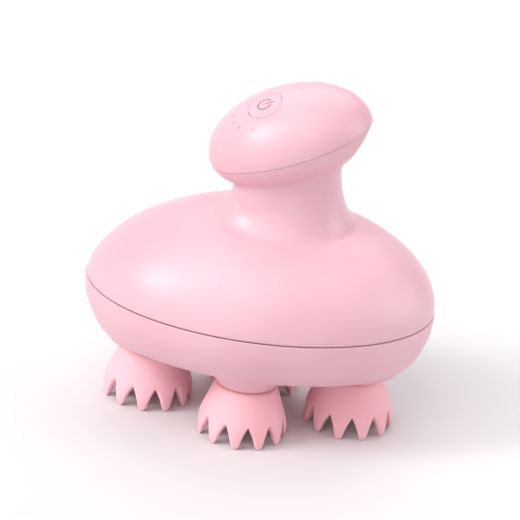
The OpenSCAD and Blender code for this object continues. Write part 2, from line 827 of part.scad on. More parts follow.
// Bridge over the reduction train that carries the motor.
deck_arm = 7;
cup_wall = 1.4;
cup_height = 5;
snout_radius = 3.1;
module motor_plate() color("ivory") {
    difference() {
        union() {
            translate([0, 0, deck_bottom]) linear_extrude(height = plate_thick) {
                square([2 * (post_x + post_radius), 2 * deck_arm], center = true);
                for (s = [-1, 1]) translate([s * post_x, 0])
                    square([2 * post_radius, 2 * (post_y + post_radius)], center = true);
                circle(r = motor_radius + cup_wall);
            }
            for (x = [-post_x, post_x], y = [-post_y, post_y])
                translate([x, y, plate_top]) cylinder(r = post_radius, h = deck_bottom - plate_top + 0.5);
            translate([0, 0, deck_bottom])
                tube(motor_radius + cup_wall, motor_radius, plate_thick + cup_height);
        }
        translate([0, 0, deck_bottom - over]) cylinder(r = snout_radius + 0.1, h = 2 * plate_thick);
        translate([idler_reach, 0, deck_bottom - over]) cylinder(r = pin_radius, h = 2 * plate_thick);
        for (a = motor_screw_angles) rotate(a) translate([motor_screw_reach, 0, deck_bottom - over])
            cylinder(r = screw_radius, h = 2 * plate_thick);
        for (x = [-post_x, post_x], y = [-post_y, post_y])
            translate([x, y, plate_top - over]) cylinder(r = screw_radius, h = deck_top);
    }
}

motor_screw_angles = [90, 270];
motor_screw_reach = 8;

vent_depth = 0.8;
vent_width = 8;
vent_low = 8;
vent_height = 10;
module motor_can() color("silver") {
    difference() {
        union() {
            translate([0, 0, deck_top]) cylinder(r = motor_radius, h = motor_length);
            translate([0, 0, deck_bottom]) cylinder(r = snout_radius, h = plate_thick + over);
        }
        translate([0, 0, deck_bottom - over]) cylinder(r = motor_shaft_radius + running_gap, h = 2 *
            motor_length);
        for (a = motor_screw_angles) rotate(a) translate([motor_screw_reach, 0, deck_top - over])
            cylinder(r = screw_radius, h = 4 + over);
        for (a = [0, 180]) rotate(a)
            translate([motor_radius - vent_depth, -vent_width / 2, deck_top + vent_low])
                cube([3 * over, vent_width, vent_height]);
    }
}

tab_reach = 6;
tab_thick = 2;
tab_width = 3;
tab_height = 3;
module motor_end_cap() color("white") {
    difference() {
        union() {
            translate([0, 0, motor_top]) cylinder(r = motor_radius - 1, h = end_cap_thick);
            for (x = [-tab_reach, tab_reach]) translate([x, 0, motor_top + (end_cap_thick + tab_height) / 2])
                cube([tab_thick, tab_width, end_cap_thick + tab_height], center = true);
        }
        translate([0, 0, motor_top - over]) cylinder(r = motor_shaft_radius + running_gap, h = 2 *
            end_cap_thick);
    }
}

module motor_screws() color("silver") {
    for (a = motor_screw_angles) rotate(a) translate([motor_screw_reach, 0, deck_bottom - screw_head_height])
        screw(plate_thick + 2);
}

// Long screws down through the motor plate and the gear plate into the cover posts.
module post_screws() color("silver") {
    for (x = [-post_x, post_x], y = [-post_y, post_y]) translate([x, y, deck_top + screw_head_height])
        rotate([180, 0, 0]) slotted_screw(deck_top - boss_top - 3);
}

module cover_screws() color("silver") {
    for (x = [-mast_x, mast_x], y = [-mast_y, mast_y]) translate([x, y, floor_height - screw_stand])
        slotted_screw(11);
}

module battery_cell() color("blue") {
    translate([cell_x, -cell_length / 2, cell_z]) rotate([-90, 0, 0]) {
        cylinder(r = cell_radius, h = cell_length - 1.4);
        cylinder(r = cell_radius / 2.4, h = cell_length);
    }
}

cradle_width = 2 * cell_radius + 4;
cradle_reach = 6.5;
cradle_rib = 4;
cradle_foot = 1.3;
module battery_cradle() color("ivory") {
    difference() {
        union() {
            for (y = [-cradle_reach, cradle_reach])
                translate([cell_x - cradle_width / 2, y - cradle_rib / 2, plate_top])
                    cube([cradle_width, cradle_rib, cell_radius + 0.5]);
            translate([cell_x - cradle_width / 2, -cradle_reach - cradle_rib / 2, plate_top])
                cube([cradle_width, 2 * cradle_reach + cradle_rib, cradle_foot]);
        }
        translate([cell_x, -cell_length / 2, cell_z]) rotate([-90, 0, 0])
            cylinder(r = cell_radius, h = cell_length);
        translate([-end_reach, 0, plate_top - over]) cylinder(r = bush_radius + 0.4, h = 4);
    }
}

// Puts children in the frame of the charging socket, with +Z out of its mouth.
module on_socket() {
    translate([socket_x, socket_back, socket_z]) rotate([-90, 0, 0]) children();
}

module charging_socket() color("black") {
    on_socket() difference() {
        union() {
            cylinder(r = socket_body - seal_wall, h = socket_length);
            translate([0, 0, socket_room - seal_wall * 2])
                cylinder(r = socket_body + socket_rim, h = seal_wall * 2);
        }
        translate([0, 0, socket_length - socket_depth]) cylinder(r = socket_radius, h = socket_depth + over);
        for (x = [-tag_reach, tag_reach]) translate([x, 0, -over])
            cylinder(r = tag_radius, h = socket_length - socket_depth + 2 * over);
    }
}

// Two contacts through the floor of the plug hole, flush with it.
module socket_contacts() color("gold") {
    on_socket() for (x = [-tag_reach, tag_reach]) translate([x, 0, -tag_length])
        cylinder(r = tag_radius, h = tag_length + socket_length - socket_depth);
}

module socket_seal() color("gray") {
    on_socket() translate([0, 0, socket_room])
        tube(socket_body, socket_body - seal_wall, wall + 4.2);
}

// Ends of the leads, square to the underside of the control board.
function turn_y(p, a) = [p[0] * cos(a) + p[2] * sin(a), p[1], p[2] * cos(a) - p[0] * sin(a)];
function turn_x(p, a) = [p[0], p[1] * cos(a) - p[2] * sin(a), p[1] * sin(a) + p[2] * cos(a)];
function from_button(p) = [neck_offset, 0, knob_height]
    + turn_y([button_x, button_y, button_level] + turn_y(turn_x(p, button_lean), button_dip), -knob_tilt);
function board_end(x, y) = [from_button([x, y, -board_depth - board_thick - 3]),
    from_button([x, y, -board_depth - board_thick])];

module battery_leads() color("red") {
    for (s = [-1, 1]) lead(concat([[cell_x, s * cell_length / 2, cell_z],
        [cell_x, s * (cell_length / 2 + 1.8), cell_z],
        [cell_x, s * (cell_length / 2 + 1.8), cell_z + cell_radius + 1.6],
        [cell_x + 5, s * 17, cell_z + 11], [neck_side - 1.2, s * 4.5, motor_top + 0.5],
        [neck_side + 3.4, s * 3, waist_height + 1]],
        board_end(-11, s * 3)), lead_radius);
}

module motor_leads() color("red") {
    for (s = [-1, 1]) lead(concat([[s * tab_reach, 0, motor_top + end_cap_thick + tab_height],
        [s * tab_reach, 0, motor_top + end_cap_thick + 2 * tab_height]],
        board_end(s * 4, 8)), lead_radius);
}

module socket_leads() color("black") {
    for (s = [-1, 1]) lead(concat([[s * tag_reach, socket_back - tag_length, socket_z],
        [s * tag_reach, socket_back - tag_length - 3, socket_z],
        [s * 1.6, 24, socket_z + 8], [s * 1.6, neck_far - 1.6, motor_top + 4.5],
        [s * 1.6, neck_far - 3.2, waist_height + 4]],
        board_end(4.2 + s * 2.8, 6.5 - s * 0.5)), lead_radius);
}

upper_shell();
knob_cap();
lower_cover();
body_gasket();
knob_seal();
power_button();
led_lenses();
control_board();
tact_switch();
led_chips();
board_chips();
board_screws();
motor_can();
motor_end_cap();
motor_shaft();
motor_pinion();
motor_plate();
motor_screws();
gear_plate();
compound_gear();
reduction_wheel();
centre_gear();
centre_shaft();
idler_gear_front();
idler_gear_back();
idler_pins();
head_gear_front();
head_gear_back();
head_gear_near();
head_gear_far();
spindle_front();
spindle_back();
spindle_near();
spindle_far();
massage_head_front();
massage_head_back();
massage_head_near();
massage_head_far();
head_core_front();
head_core_back();
head_core_near();
head_core_far();
head_screw_front();
head_screw_back();
head_screw_near();
head_screw_far();
spindle_bushes();
plate_bushes();
spindle_seals();
post_screws();
cover_screws();
battery_cell();
battery_cradle();
battery_leads();
motor_leads();
charging_socket();
socket_contacts();
socket_seal();
socket_leads();
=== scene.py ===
import json
import math

import bmesh
import bpy
from bpy.props import FloatProperty, FloatVectorProperty, IntProperty, PointerProperty
from mathutils import Matrix, Vector


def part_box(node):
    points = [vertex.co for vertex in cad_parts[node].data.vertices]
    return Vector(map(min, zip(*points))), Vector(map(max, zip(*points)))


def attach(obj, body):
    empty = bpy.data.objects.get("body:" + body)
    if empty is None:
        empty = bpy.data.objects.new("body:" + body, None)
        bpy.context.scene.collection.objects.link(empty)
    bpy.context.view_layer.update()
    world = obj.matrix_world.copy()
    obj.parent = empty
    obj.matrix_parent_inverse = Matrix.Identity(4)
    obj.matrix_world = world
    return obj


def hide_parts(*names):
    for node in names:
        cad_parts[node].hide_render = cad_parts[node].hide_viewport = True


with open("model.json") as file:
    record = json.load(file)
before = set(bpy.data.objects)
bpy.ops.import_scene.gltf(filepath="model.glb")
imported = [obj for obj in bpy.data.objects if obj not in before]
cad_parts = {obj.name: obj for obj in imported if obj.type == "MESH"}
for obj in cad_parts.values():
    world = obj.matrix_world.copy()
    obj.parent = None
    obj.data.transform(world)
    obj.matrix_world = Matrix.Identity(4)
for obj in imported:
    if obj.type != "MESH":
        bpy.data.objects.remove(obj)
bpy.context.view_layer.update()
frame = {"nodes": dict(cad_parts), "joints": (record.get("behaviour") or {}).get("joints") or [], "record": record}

bl_info = {
    "name": "Scalp massager",
    "version": (1, 0, 0),
    "blender": (4, 5, 0),
    "location": "3D View > Sidebar > Massager",
    "description": "Models the shells, knob, button and massage heads of a scalp massager",
    "category": "Object",
}

MM = 0.001
NODES = frame["nodes"]
HEADS = ("front", "back", "near", "far")
HEAD_TURNS = {"front": 8, "back": 2, "near": 6, "far": 12}  # degrees that each head stands turned
LIGHTS = ((171, 13.0), (189, 12.42), (208, 11.82), (240, 10.79))  # angle and reach from the button

# Fastenings, in millimetres: the cover's screws rise into masts of the upper shell, and the
# gear plate stands on posts of the cover.
SCREW_X, SCREW_Y = 24.8, 25.6
POST_X, POST_Y = 18, 20
THREAD_RADIUS = 1.1
MAST_RADIUS, MAST_FOOT, MAST_TOP, MAST_THREAD_TOP = 3.2, 29, 64.2, 41
POST_RADIUS, POST_FOOT, POST_TOP, POST_THREAD_FOOT = 3, 27.4, 39, 29.8
SCREW_SEAT_RADIUS, SCREW_SEAT_FOOT, SCREW_SEAT_TOP, COVER_TOP = 2.4, 20, 27.4, 32
BORE_RADIUS, BORE_LOW, BORE_HIGH = 3.5, 17, 36

FIRM_EDGE = math.radians(60)    # edges sharper than this are rims
IMAGE_WIDTH = 520               # pixels


def middle(node):
    """The middle of a node's box, in metres."""
    low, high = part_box(node)
    return (Vector(low) + Vector(high)) / 2


# ---------------------------------------------------------------- sizes and colours


def millimetres(name, default, description):
    """A length that the sidebar shows, kept in millimetres."""
    return FloatProperty(name=name, default=default, description=description, min=0.01, unit="NONE")


def colour(name, default, description):
    """A colour that the sidebar shows."""
    return FloatVectorProperty(
        name=name, default=default, description=description, subtype="COLOR", size=3, min=0, max=1)


class MassagerBodySizes(bpy.types.PropertyGroup):
    """Sizes of the body shells."""
    length: millimetres("Length", 124.8, "Length of the lower cover at the seam")
    width: millimetres("Width", 86.8, "Width of the lower cover at the seam")
    seam_height: millimetres("Seam height", 46, "Height of the seam above the floor")
    dome_rise: millimetres("Dome rise", 35.0, "Rise of the dome above the seam, inside the neck")
    dome_lean: FloatProperty(
        name="Dome lean", default=0.11, description="Sideways lean of the dome for each unit of height")
    dome_fullness: FloatProperty(
        name="Dome fullness", default=1.88, description="Fullness of the dome's outline: 2 is an ellipse")
    seam_gap: millimetres("Seam gap", 0.36, "Gap between the two shells")
    ledge: millimetres("Ledge", 0.4, "How far the lower cover stands out past the dome")
    rim: millimetres("Rim", 0.26, "Rounding of the rims at the seams")
    wall: millimetres("Wall", 2.2, "Thickness of the shells")
    boss_radius: millimetres("Boss radius", 17.4, "Radius of the bosses over the front and back heads")
    side_boss_radius: millimetres("Side boss radius", 15.4, "Radius of the bosses over the side heads")
    floor_height: millimetres("Underside height", 26.4, "Height of the flat underside")


class MassagerKnobSizes(bpy.types.PropertyGroup):
    """Sizes of the knob and its button."""
    length: millimetres("Length", 59.6, "Length of the knob")
    width: millimetres("Width", 45, "Width of the knob")
    rise: millimetres("Rise", 18.6, "Rise of the knob above its middle")
    height: millimetres("Height", 106.2, "Height of the middle of the knob")
    offset: FloatProperty(name="Offset", default=4.6, description="Offset of the knob along the body")
    tilt: FloatProperty(name="Tilt", default=math.radians(23.4), unit="ROTATION",
                        description="Tilt of the knob towards its button")
    seam_drop: millimetres("Seam drop", 1.3, "Depth of the knob's seam under its middle")
    button_radius: millimetres("Button radius", 6.35, "Radius of the power button")
    button_gap: millimetres("Button gap", 0.2, "Gap round the power button")
    button_x: FloatProperty(
        name="Button X", default=-3.5, description="Place of the button along the knob")
    button_y: FloatProperty(
        name="Button Y", default=-7, description="Place of the button across the knob")
    light_radius: millimetres("Light radius", 0.58, "Radius of the holes over the lights")
    mark_radius: millimetres("Mark radius", 2.5, "Radius of the circle of the power mark")
    mark_width: millimetres("Mark width", 0.54, "Width of the grooves of the power mark")
    mark_drop: millimetres("Mark drop", 0.12, "Depth of the middle of the grooves")


class MassagerHeadSizes(bpy.types.PropertyGroup):
    """Sizes of the massage heads."""
    fingers: IntProperty(name="Fingers", default=11, min=5, description="Number of outer fingers")
    nubs: IntProperty(name="Inner nubs", default=6, min=3, description="Number of inner nubs")
    wall: millimetres("Wall", 2.7, "Thickness of the silicone")
    nub_ring: millimetres("Nub ring", 9, "Radius of the ring of inner nubs")
    ceiling: millimetres("Ceiling", 13.4, "Height of the inside of a head over the floor")


class MassagerFinish(bpy.types.PropertyGroup):
    """Colours of the finishes."""
    shell: colour("Shell", (0.78, 0.485, 0.54), "Soft satin plastic of the shells")
    silicone: colour("Silicone", (0.97, 0.55, 0.60), "Silicone of the massage heads")
    mark: colour("Mark", (0.42, 0.22, 0.26), "Grooves of the power mark")
    seal: colour("Seal", (0.34, 0.13, 0.16), "Rubber of the seals")
    floor: colour("Floor", (0.765, 0.80, 0.80), "Plain floor")


# ---------------------------------------------------------------- modelling by hand


def leave():
    """Leave edit mode and deselect everything."""
    if bpy.context.mode != "OBJECT":
        bpy.ops.object.mode_set(mode="OBJECT")
    bpy.ops.object.select_all(action="DESELECT")


def take(piece):
    """Make a piece the only selected object."""
    leave()
    piece.select_set(True)
    bpy.context.view_layer.objects.active = piece


def edit(piece, kind="VERT"):
    """Enter edit mode on a piece, with nothing selected."""
    take(piece)
    bpy.ops.object.mode_set(mode="EDIT")
    bpy.ops.mesh.select_mode(type=kind)
    bpy.ops.mesh.select_all(action="DESELECT")


def choose(piece, kind, test):
    """In edit mode, select only the elements of a kind that pass a test."""
    bpy.ops.mesh.select_mode(type=kind)
    bpy.ops.mesh.select_all(action="DESELECT")
    mesh = bmesh.from_edit_mesh(piece.data)
    elements = {"VERT": mesh.verts, "EDGE": mesh.edges, "FACE": mesh.faces}[kind]
    for element in elements:
        if test(element):
            element.select_set(True)
    mesh.select_flush_mode()
    bmesh.update_edit_mesh(piece.data)


def newest(name):
    """Name the object that a primitive operator has just added."""
    piece = bpy.context.object
    piece.name = name
    piece.data.name = name
    return piece


def turn(angle, axis, centre):
    """Turn the selection about an axis, right-handed."""
    bpy.ops.transform.rotate(value=-angle, orient_axis=axis, center_override=centre)


def finish_modifier(piece, kind, **values):
    """Add a modifier to a piece with its values, and apply it."""
    take(piece)
    modifier = piece.modifiers.new(kind.title(), kind)
    for name, value in values.items():
        setattr(modifier, name, value)
    bpy.ops.object.modifier_apply(modifier=modifier.name)


def subdivide(piece, levels):
    finish_modifier(piece, "SUBSURF", levels=levels, render_levels=levels)


def thicken(piece, wall):
    """Give an open sheet a wall on its inner side."""
    finish_modifier(piece, "SOLIDIFY", thickness=wall, offset=-1, use_even_offset=True)


def combine(piece, other, operation):
    """Cut, join or intersect a piece with another object, which goes."""
    finish_modifier(piece, "BOOLEAN", operation=operation, object=other, solver="EXACT")
    bpy.data.objects.remove(other, do_unlink=True)


def soften_sharp_edges(piece, angle, size, steps=2, clamp=True):
    """Bevel the edges that are sharper than an angle."""
    edit(piece, "EDGE")
    bpy.ops.mesh.edges_select_sharp(sharpness=angle)
    bpy.ops.mesh.bevel(offset=size, segments=steps, affect="EDGES", clamp_overlap=clamp)
    leave()


def smooth(piece, angle=math.radians(40)):
    take(piece)
    bpy.ops.object.shade_smooth_by_angle(angle=angle)


def settle(piece, matrix=None):
    """Put a piece in its place and apply its transform."""
    if matrix is not None:
        piece.matrix_world = matrix
    take(piece)
    bpy.ops.object.transform_apply(location=True, rotation=True, scale=True)


def join(pieces):
    """Join pieces into the first one."""
    leave()
    for piece in pieces:
        piece.select_set(True)
    bpy.context.view_layer.objects.active = pieces[0]
    bpy.ops.object.join()
    return pieces[0]


def corners(x, y):
    """The four places of a fastening that is mirrored both ways."""
    return [(side_x, side_y) for side_x in (-x, x) for side_y in (-y, y)]


def rod(radius, low, high, x=0, y=0, sides=48):
    """An upright rod, in millimetres."""
    leave()
    bpy.ops.mesh.primitive_cylinder_add(
        vertices=sides, radius=radius * MM, depth=(high - low) * MM,
        location=(x * MM, y * MM, (low + high) / 2 * MM))
    piece = newest("rod")
    settle(piece)
    return piece


def dress(piece, material, body, slot, *nodes):
    """Give a piece its material and body, and let it stand for its nodes; its slot is not used."""
    if material is not None:
        piece.data.materials.clear()
        piece.data.materials.append(material)
    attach(piece, body)
    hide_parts(*nodes)


# ---------------------------------------------------------------- rings


def ring(left, right, half_width, fullness=2.0):
    """An oval ring that spans two points of the middle plane, in millimetres.

    A fullness of 2 is an ellipse, and a larger one fills out its corners."""
    (x0, z0), (x1, z1) = left, right
    return {
        "centre": Vector((x0 + x1, 0, z0 + z1)) / 2 * MM,
        "length": math.dist(left, right) / 2 * MM,
        "width": half_width * MM,
        "tilt": math.atan2(z1 - z0, x1 - x0),
        "fullness": fullness,
    }


def fill_out(piece, rings, sides):
    """Push each ring's corners out to its fullness."""
    for place, shape in enumerate(rings):
        if shape["fullness"] == 2:
            continue
        power = shape["fullness"]
        tilt = Matrix.Rotation(-shape["tilt"], 3, "Y")
        for vertex in piece.data.vertices[place * sides:(place + 1) * sides]:
            local = tilt.inverted() @ (vertex.co - shape["centre"])
            x, y = local.x / shape["length"], local.y / shape["width"]
            local *= (abs(x) ** power + abs(y) ** power) ** (-1 / power)
            vertex.co = shape["centre"] + tilt @ local


def lay(old, new):
    """Move the selected ring from one place to the next."""
    turn(old["tilt"], "Y", old["centre"])
    bpy.ops.transform.resize(
        value=(new["length"] / old["length"], new["width"] / old["width"], 1),
        center_override=old["centre"])
    bpy.ops.transform.translate(value=new["centre"] - old["centre"])
    turn(-new["tilt"], "Y", new["centre"])


def oval_egg(name, cuts, *half_axes):
    """An even egg of quads from its three half axes, in millimetres."""
    leave()
    bpy.ops.mesh.primitive_cube_add(size=2 * MM)
    egg = newest(name)
    bpy.ops.object.mode_set(mode="EDIT")
    bpy.ops.mesh.select_all(action="SELECT")
    bpy.ops.mesh.subdivide(number_cuts=cuts)
    bpy.ops.transform.tosphere(value=1)
    leave()
    radius = egg.data.vertices[0].co.length / MM
    egg.scale = [axis / radius for axis in half_axes]
    settle(egg)
    return egg


def trim(piece, point, outward, fill=False):
    """Cut away what lies beyond a plane, and even out the rim that this leaves."""
    edit(piece)
    bpy.ops.mesh.select_all(action="SELECT")
    bpy.ops.mesh.bisect(plane_co=point, plane_no=outward, clear_outer=True, use_fill=fill)
    if not fill:
        choose(piece, "VERT", lambda v: v.is_boundary)
        bpy.ops.mesh.remove_doubles(threshold=0.3 * MM)
    leave()


def loft(name, rings, sides, fill=False):
    """Extrude one ring after another into a skin."""
    leave()
    bpy.ops.mesh.primitive_circle_add(vertices=sides, radius=MM, fill_type="NOTHING")
    piece = newest(name)
    bpy.ops.object.mode_set(mode="EDIT")
    bpy.ops.mesh.select_mode(type="EDGE")
    bpy.ops.mesh.select_all(action="SELECT")
    last = {"centre": Vector((0, 0, 0)), "length": MM, "width": MM, "tilt": 0}
    lay(last, rings[0])
    for old, new in zip(rings, rings[1:]):
        bpy.ops.mesh.extrude_edges_move()
        lay(old, new)
    leave()
    fill_out(piece, rings, sides)
    if fill:
        edit(piece, "EDGE")
        choose(piece, "EDGE", lambda e: e.is_boundary)
        bpy.ops.mesh.edge_face_add()
        bpy.ops.mesh.select_all(action="SELECT")
        bpy.ops.mesh.normals_make_consistent(inside=False)
        leave()
    return piece


# ---------------------------------------------------------------- frames of the knob


def knob_frame():
    """The frame of the knob: +Z square to its seam."""
    knob = bpy.context.scene.massager_knob
    place = Matrix.Translation(Vector((knob.offset, 0, knob.height)) * MM)
    return place @ Matrix.Rotation(-knob.tilt, 4, "Y")


def button_frame():
    """The frame of the power button, from the travel of its joint."""
    travel = next(j for j in frame["joints"] if j["child"] == "button")
    out = -Vector(travel["axis"]).normalized()
    into_knob = knob_frame().inverted()
    local = into_knob.to_3x3() @ out
    knob = bpy.context.scene.massager_knob
    x, y = knob.button_x, knob.button_y
    z = knob.rise * math.sqrt(1 - (x / (knob.length / 2)) ** 2 - (y / (knob.width / 2)) ** 2)
    lean = math.asin(-local.y)
    dip = math.atan2(local.x, local.z)
    place = Matrix.Translation(Vector((x, y, z)) * MM)
    return knob_frame() @ place @ Matrix.Rotation(dip, 4, "Y") @ Matrix.Rotation(lean, 4, "X")


# ---------------------------------------------------------------- upper shell


class MASSAGER_OT_upper_shell(bpy.types.Operator):
    """Model the dome, the neck and the underside of the knob as one shell"""
    bl_idname = "massager.upper_shell"
    bl_label = "Upper shell"
    nose_share = 0.80               # depth of the knob's underside, as a share of its rise
    nose_end = (24.6, 110)          # where the underside is cut off: past the knob's offset, and height
    nose_end_faces = (0.9, 0, -0.436)
    knob_gap = 0.26                 # gap at the front of the knob's seam, which closes at its back
    skin_cell = 0.7                 # cell of the mesh that makes the dome, neck and underside one skin
    skin_passes = 10                # smoothing that rounds the corners between them
    egg_cuts = 31

    def execute(self, context):
        body = context.scene.massager_body
        knob = context.scene.massager_knob
        half_length, half_width = body.length / 2 - body.ledge, body.width / 2 - body.ledge
        dome = oval_egg("upper_shell_skin", self.egg_cuts, half_length, half_width, body.dome_rise)
        self.lean_over(dome, body)
        settle(dome, Matrix.Translation((0, 0, body.seam_height * MM)))
        neck = loft("neck", self.neck_rings(knob.offset), 64, fill=True)
        nose = oval_egg("nose", self.egg_cuts, knob.length / 2, knob.width / 2,
                        knob.rise * self.nose_share)
        settle(nose, knob_frame())
        end_x, end_z = self.nose_end
        trim(nose, Vector((knob.offset + end_x, 0, end_z)) * MM, self.nose_end_faces, fill=True)
        shell = join([dome, neck, nose])
        finish_modifier(shell, "REMESH", mode="VOXEL", voxel_size=self.skin_cell * MM)
        finish_modifier(shell, "SMOOTH", factor=0.5, iterations=self.skin_passes)
        seam = (body.seam_height + body.seam_gap / 2) * MM
        trim(shell, (0, 0, seam), (0, 0, -1))
        left = Vector((-knob.length / 2, 0, -knob.seam_drop - self.knob_gap / 2))
        lean = math.atan2(self.knob_gap, knob.length)
        trim(shell, knob_frame() @ (left * MM),
             knob_frame().to_3x3() @ Vector((-math.sin(lean), 0, math.cos(lean))))
        thicken(shell, body.wall * MM)
        soften_sharp_edges(shell, FIRM_EDGE, body.rim * MM, clamp=False)
        self.add_masts(shell)
        self.open_socket(shell)
        smooth(shell)
        dress(shell, materials("shell_plastic"), "housing", "shell_plastic", "upper_shell")
        return {"FINISHED"}

    def lean_over(self, dome, body):
        """Fill out the upright outline of the dome and lean its crown towards the back."""
        rise, power = body.dome_rise * MM, 2 / body.dome_fullness
        for vertex in dome.data.vertices:
            share = min(1, abs(vertex.co.z) / rise)
            across = math.sqrt(1 - share ** 2)
            vertex.co.xy *= across ** (power - 1) if across > 0 else 1
            vertex.co.z = math.copysign(rise * share ** power, vertex.co.z)
            vertex.co.x += body.dome_lean * max(0, vertex.co.z)

    def neck_rings(self, offset):
        """Rings of the neck, from inside the dome up into the knob.

        Each row holds the left and the right end of a ring, its half width and its fullness."""
        spans = (
            ((-47.0, 64), (43.4, 64.2), 31, 2.0),
            ((-39.4, 71.2), (34.0, 71.2), 25.2, 2.0),
            ((-31.0, 74.6), (29.2, 74.7), 22.2, 2.0),
            ((-24.4, 77.4), (25.2, 77.5), 19.8, 2.1),
            ((-20.8, 80), (22.7, 81.0), 18, 2.2),
            ((-19.2, 82.3), (21.2, 84.8), 16.9, 2.3),
            ((-18.7, 83.8), (20.1, 88), 16.4, 2.4),
            ((-18.5, 84.9), (19.4, 91.8), 16.3, 2.5),
            ((-18.2, 85.9), (18.9, 95.7), 16.2, 2.5),
            ((-18.0, 87.3), (19.4, 99.8), 16.4, 2.5),
            ((-18.0, 88.7), (21.4, 103.9), 16.9, 2.4),
            ((-18.2, 90.3), (23.6, 107.9), 17.8, 2.3),
            ((-19.0, 92.6), (25.8, 111.9), 19.2, 2.15),
            ((-20.4, 94.6), (27.3, 115.05), 20.8, 2.0),
            ((-25.6, 93.6), (27.7, 116.65), 22.25, 2.0),
            ((-26.8, 95.1), (27.06, 118.45), 22.4, 2.0),
        )
        return [ring((x0 + offset, z0), (x1 + offset, z1), half_width, fullness)
                for (x0, z0), (x1, z1), half_width, fullness in spans]

    def add_masts(self, shell):
        """Add the hollow masts that take the cover's screws."""
        masts = []
        for x, y in corners(SCREW_X, SCREW_Y):
            mast = rod(MAST_RADIUS, MAST_FOOT, MAST_TOP, x, y)
            combine(mast, rod(THREAD_RADIUS, MAST_FOOT - 1, MAST_THREAD_TOP, x, y), "DIFFERENCE")
            masts.append(mast)
        combine(shell, join(masts), "UNION")

    def open_socket(self, shell):
        """Open the hole round the charging socket."""
        low, high = (Vector(corner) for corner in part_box("socket_seal"))
        clearance, depth = 0.05 * MM, 20 * MM
        leave()
        bpy.ops.mesh.primitive_cylinder_add(
            vertices=96, radius=(high.x - low.x) / 2 + clearance, depth=depth,
            rotation=(math.pi / 2, 0, 0),
            location=((low.x + high.x) / 2, high.y, (low.z + high.z) / 2))
        combine(shell, newest("hole"), "DIFFERENCE")


# ---------------------------------------------------------------- lower cover


class MASSAGER_OT_lower_cover(bpy.types.Operator):
    """Model the bowl with a soft round boss over each massage head"""
    bl_idname = "massager.lower_cover"
    bl_label = "Lower cover"
    skin_cell = 0.75                # cell of the mesh that makes the bowl and the bosses one skin
    skin_passes = 8                 # smoothing that rounds the corners between them
    rim_spare = 3                   # height above the rim that is trimmed away
    boss_root = 30                  # height, inside the bowl, at which a boss starts
    end_boss = (                    # how far the boss over an end head has drawn in, at each height
        (0, boss_root), (0, 24.6), (0.7, 23.2), (2.1, 22.0), (4.1, 21.1), (5.6, 20.5), (6.6, 20.2),
    )
    side_boss = (                   # the same over a side head
        (0, boss_root), (0, 27), (1.1, 24.8), (2.5, 23.0), (3.6, 21.7), (4.2, 20.7), (4.6, 20.2),
    )

    def execute(self, context):
        body = context.scene.massager_body
        rim = body.seam_height - body.seam_gap / 2
        bowl = loft("lower_cover_skin", self.bowl_rings(body, rim), 96, fill=True)
        pieces = [bowl]
        for name in HEADS:
            centre = middle("spindle_" + name) / MM
            if abs(centre.x) > abs(centre.y):
                pieces.append(self.boss(body.boss_radius, self.end_boss, centre))
            else:
                pieces.append(self.boss(body.side_boss_radius, self.side_boss, centre))
        cover = join(pieces)
        finish_modifier(cover, "REMESH", mode="VOXEL", voxel_size=self.skin_cell * MM)
        finish_modifier(cover, "SMOOTH", factor=0.5, iterations=self.skin_passes)
        trim(cover, (0, 0, rim * MM), (0, 0, 1))
        thicken(cover, body.wall * MM)
        soften_sharp_edges(cover, FIRM_EDGE, body.rim * MM, clamp=False)
        self.open_holes(cover)
        self.add_posts(cover)
        smooth(cover)
        dress(cover, materials("shell_plastic"), "housing", "shell_plastic", "lower_cover")
        return {"FINISHED"}

    def bowl_rings(self, body, rim):
        """Rings of the bowl, from above the seam down to the flat underside."""
        reach = body.length / 2
        levels = (  # left end, right end, height, half width
            (-reach, reach, rim + self.rim_spare, body.width / 2),
            (-reach, reach, rim, body.width / 2),
            (-62.2, 62.1, 41.5, 43.2),
            (-61.3, 61.5, 38.0, 42.5),
            (-59.8, 60.3, 34.4, 41.2),
            (-58.0, 58.9, 31.0, 39.4),
            (-56.8, 57.4, 28.6, 37.4),
            (-55.2, 55.8, 27.2, 35.8),
            (-52.8, 53.0, body.floor_height, 33.6),
        )
        return [ring((left, height), (right, height), half_width)
                for left, right, height, half_width in levels]

    def boss(self, radius, profile, centre):
        """A rounded boss that stands down over one head."""
        rings = [ring((inset - radius, height), (radius - inset, height), radius - inset)
                 for inset, height in profile]
        boss = loft("boss", rings, 64, fill=True)
        settle(boss, Matrix.Translation(Vector((centre.x, centre.y, 0)) * MM))
        return boss

    def open_holes(self, cover):
        """Open the spindle bores and the screw seats."""
        holes = []
        for name in HEADS:
            centre = middle("spindle_" + name) / MM
            holes.append(rod(BORE_RADIUS, BORE_LOW, BORE_HIGH, centre.x, centre.y))
        for x, y in corners(SCREW_X, SCREW_Y):
            holes.append(rod(SCREW_SEAT_RADIUS, SCREW_SEAT_FOOT, SCREW_SEAT_TOP, x, y))
            holes.append(rod(THREAD_RADIUS, SCREW_SEAT_TOP - 0.4, COVER_TOP, x, y))
        for hole in holes:
            combine(cover, hole, "DIFFERENCE")

    def add_posts(self, cover):
        """Add the posts that carry the gear plate."""
        posts = []
        for x, y in corners(POST_X, POST_Y):
            post = rod(POST_RADIUS, POST_FOOT, POST_TOP, x, y)
            combine(post, rod(THREAD_RADIUS, POST_THREAD_FOOT, POST_TOP + 1, x, y), "DIFFERENCE")
            posts.append(post)
        combine(cover, join(posts), "UNION")


# ---------------------------------------------------------------- knob cap and button


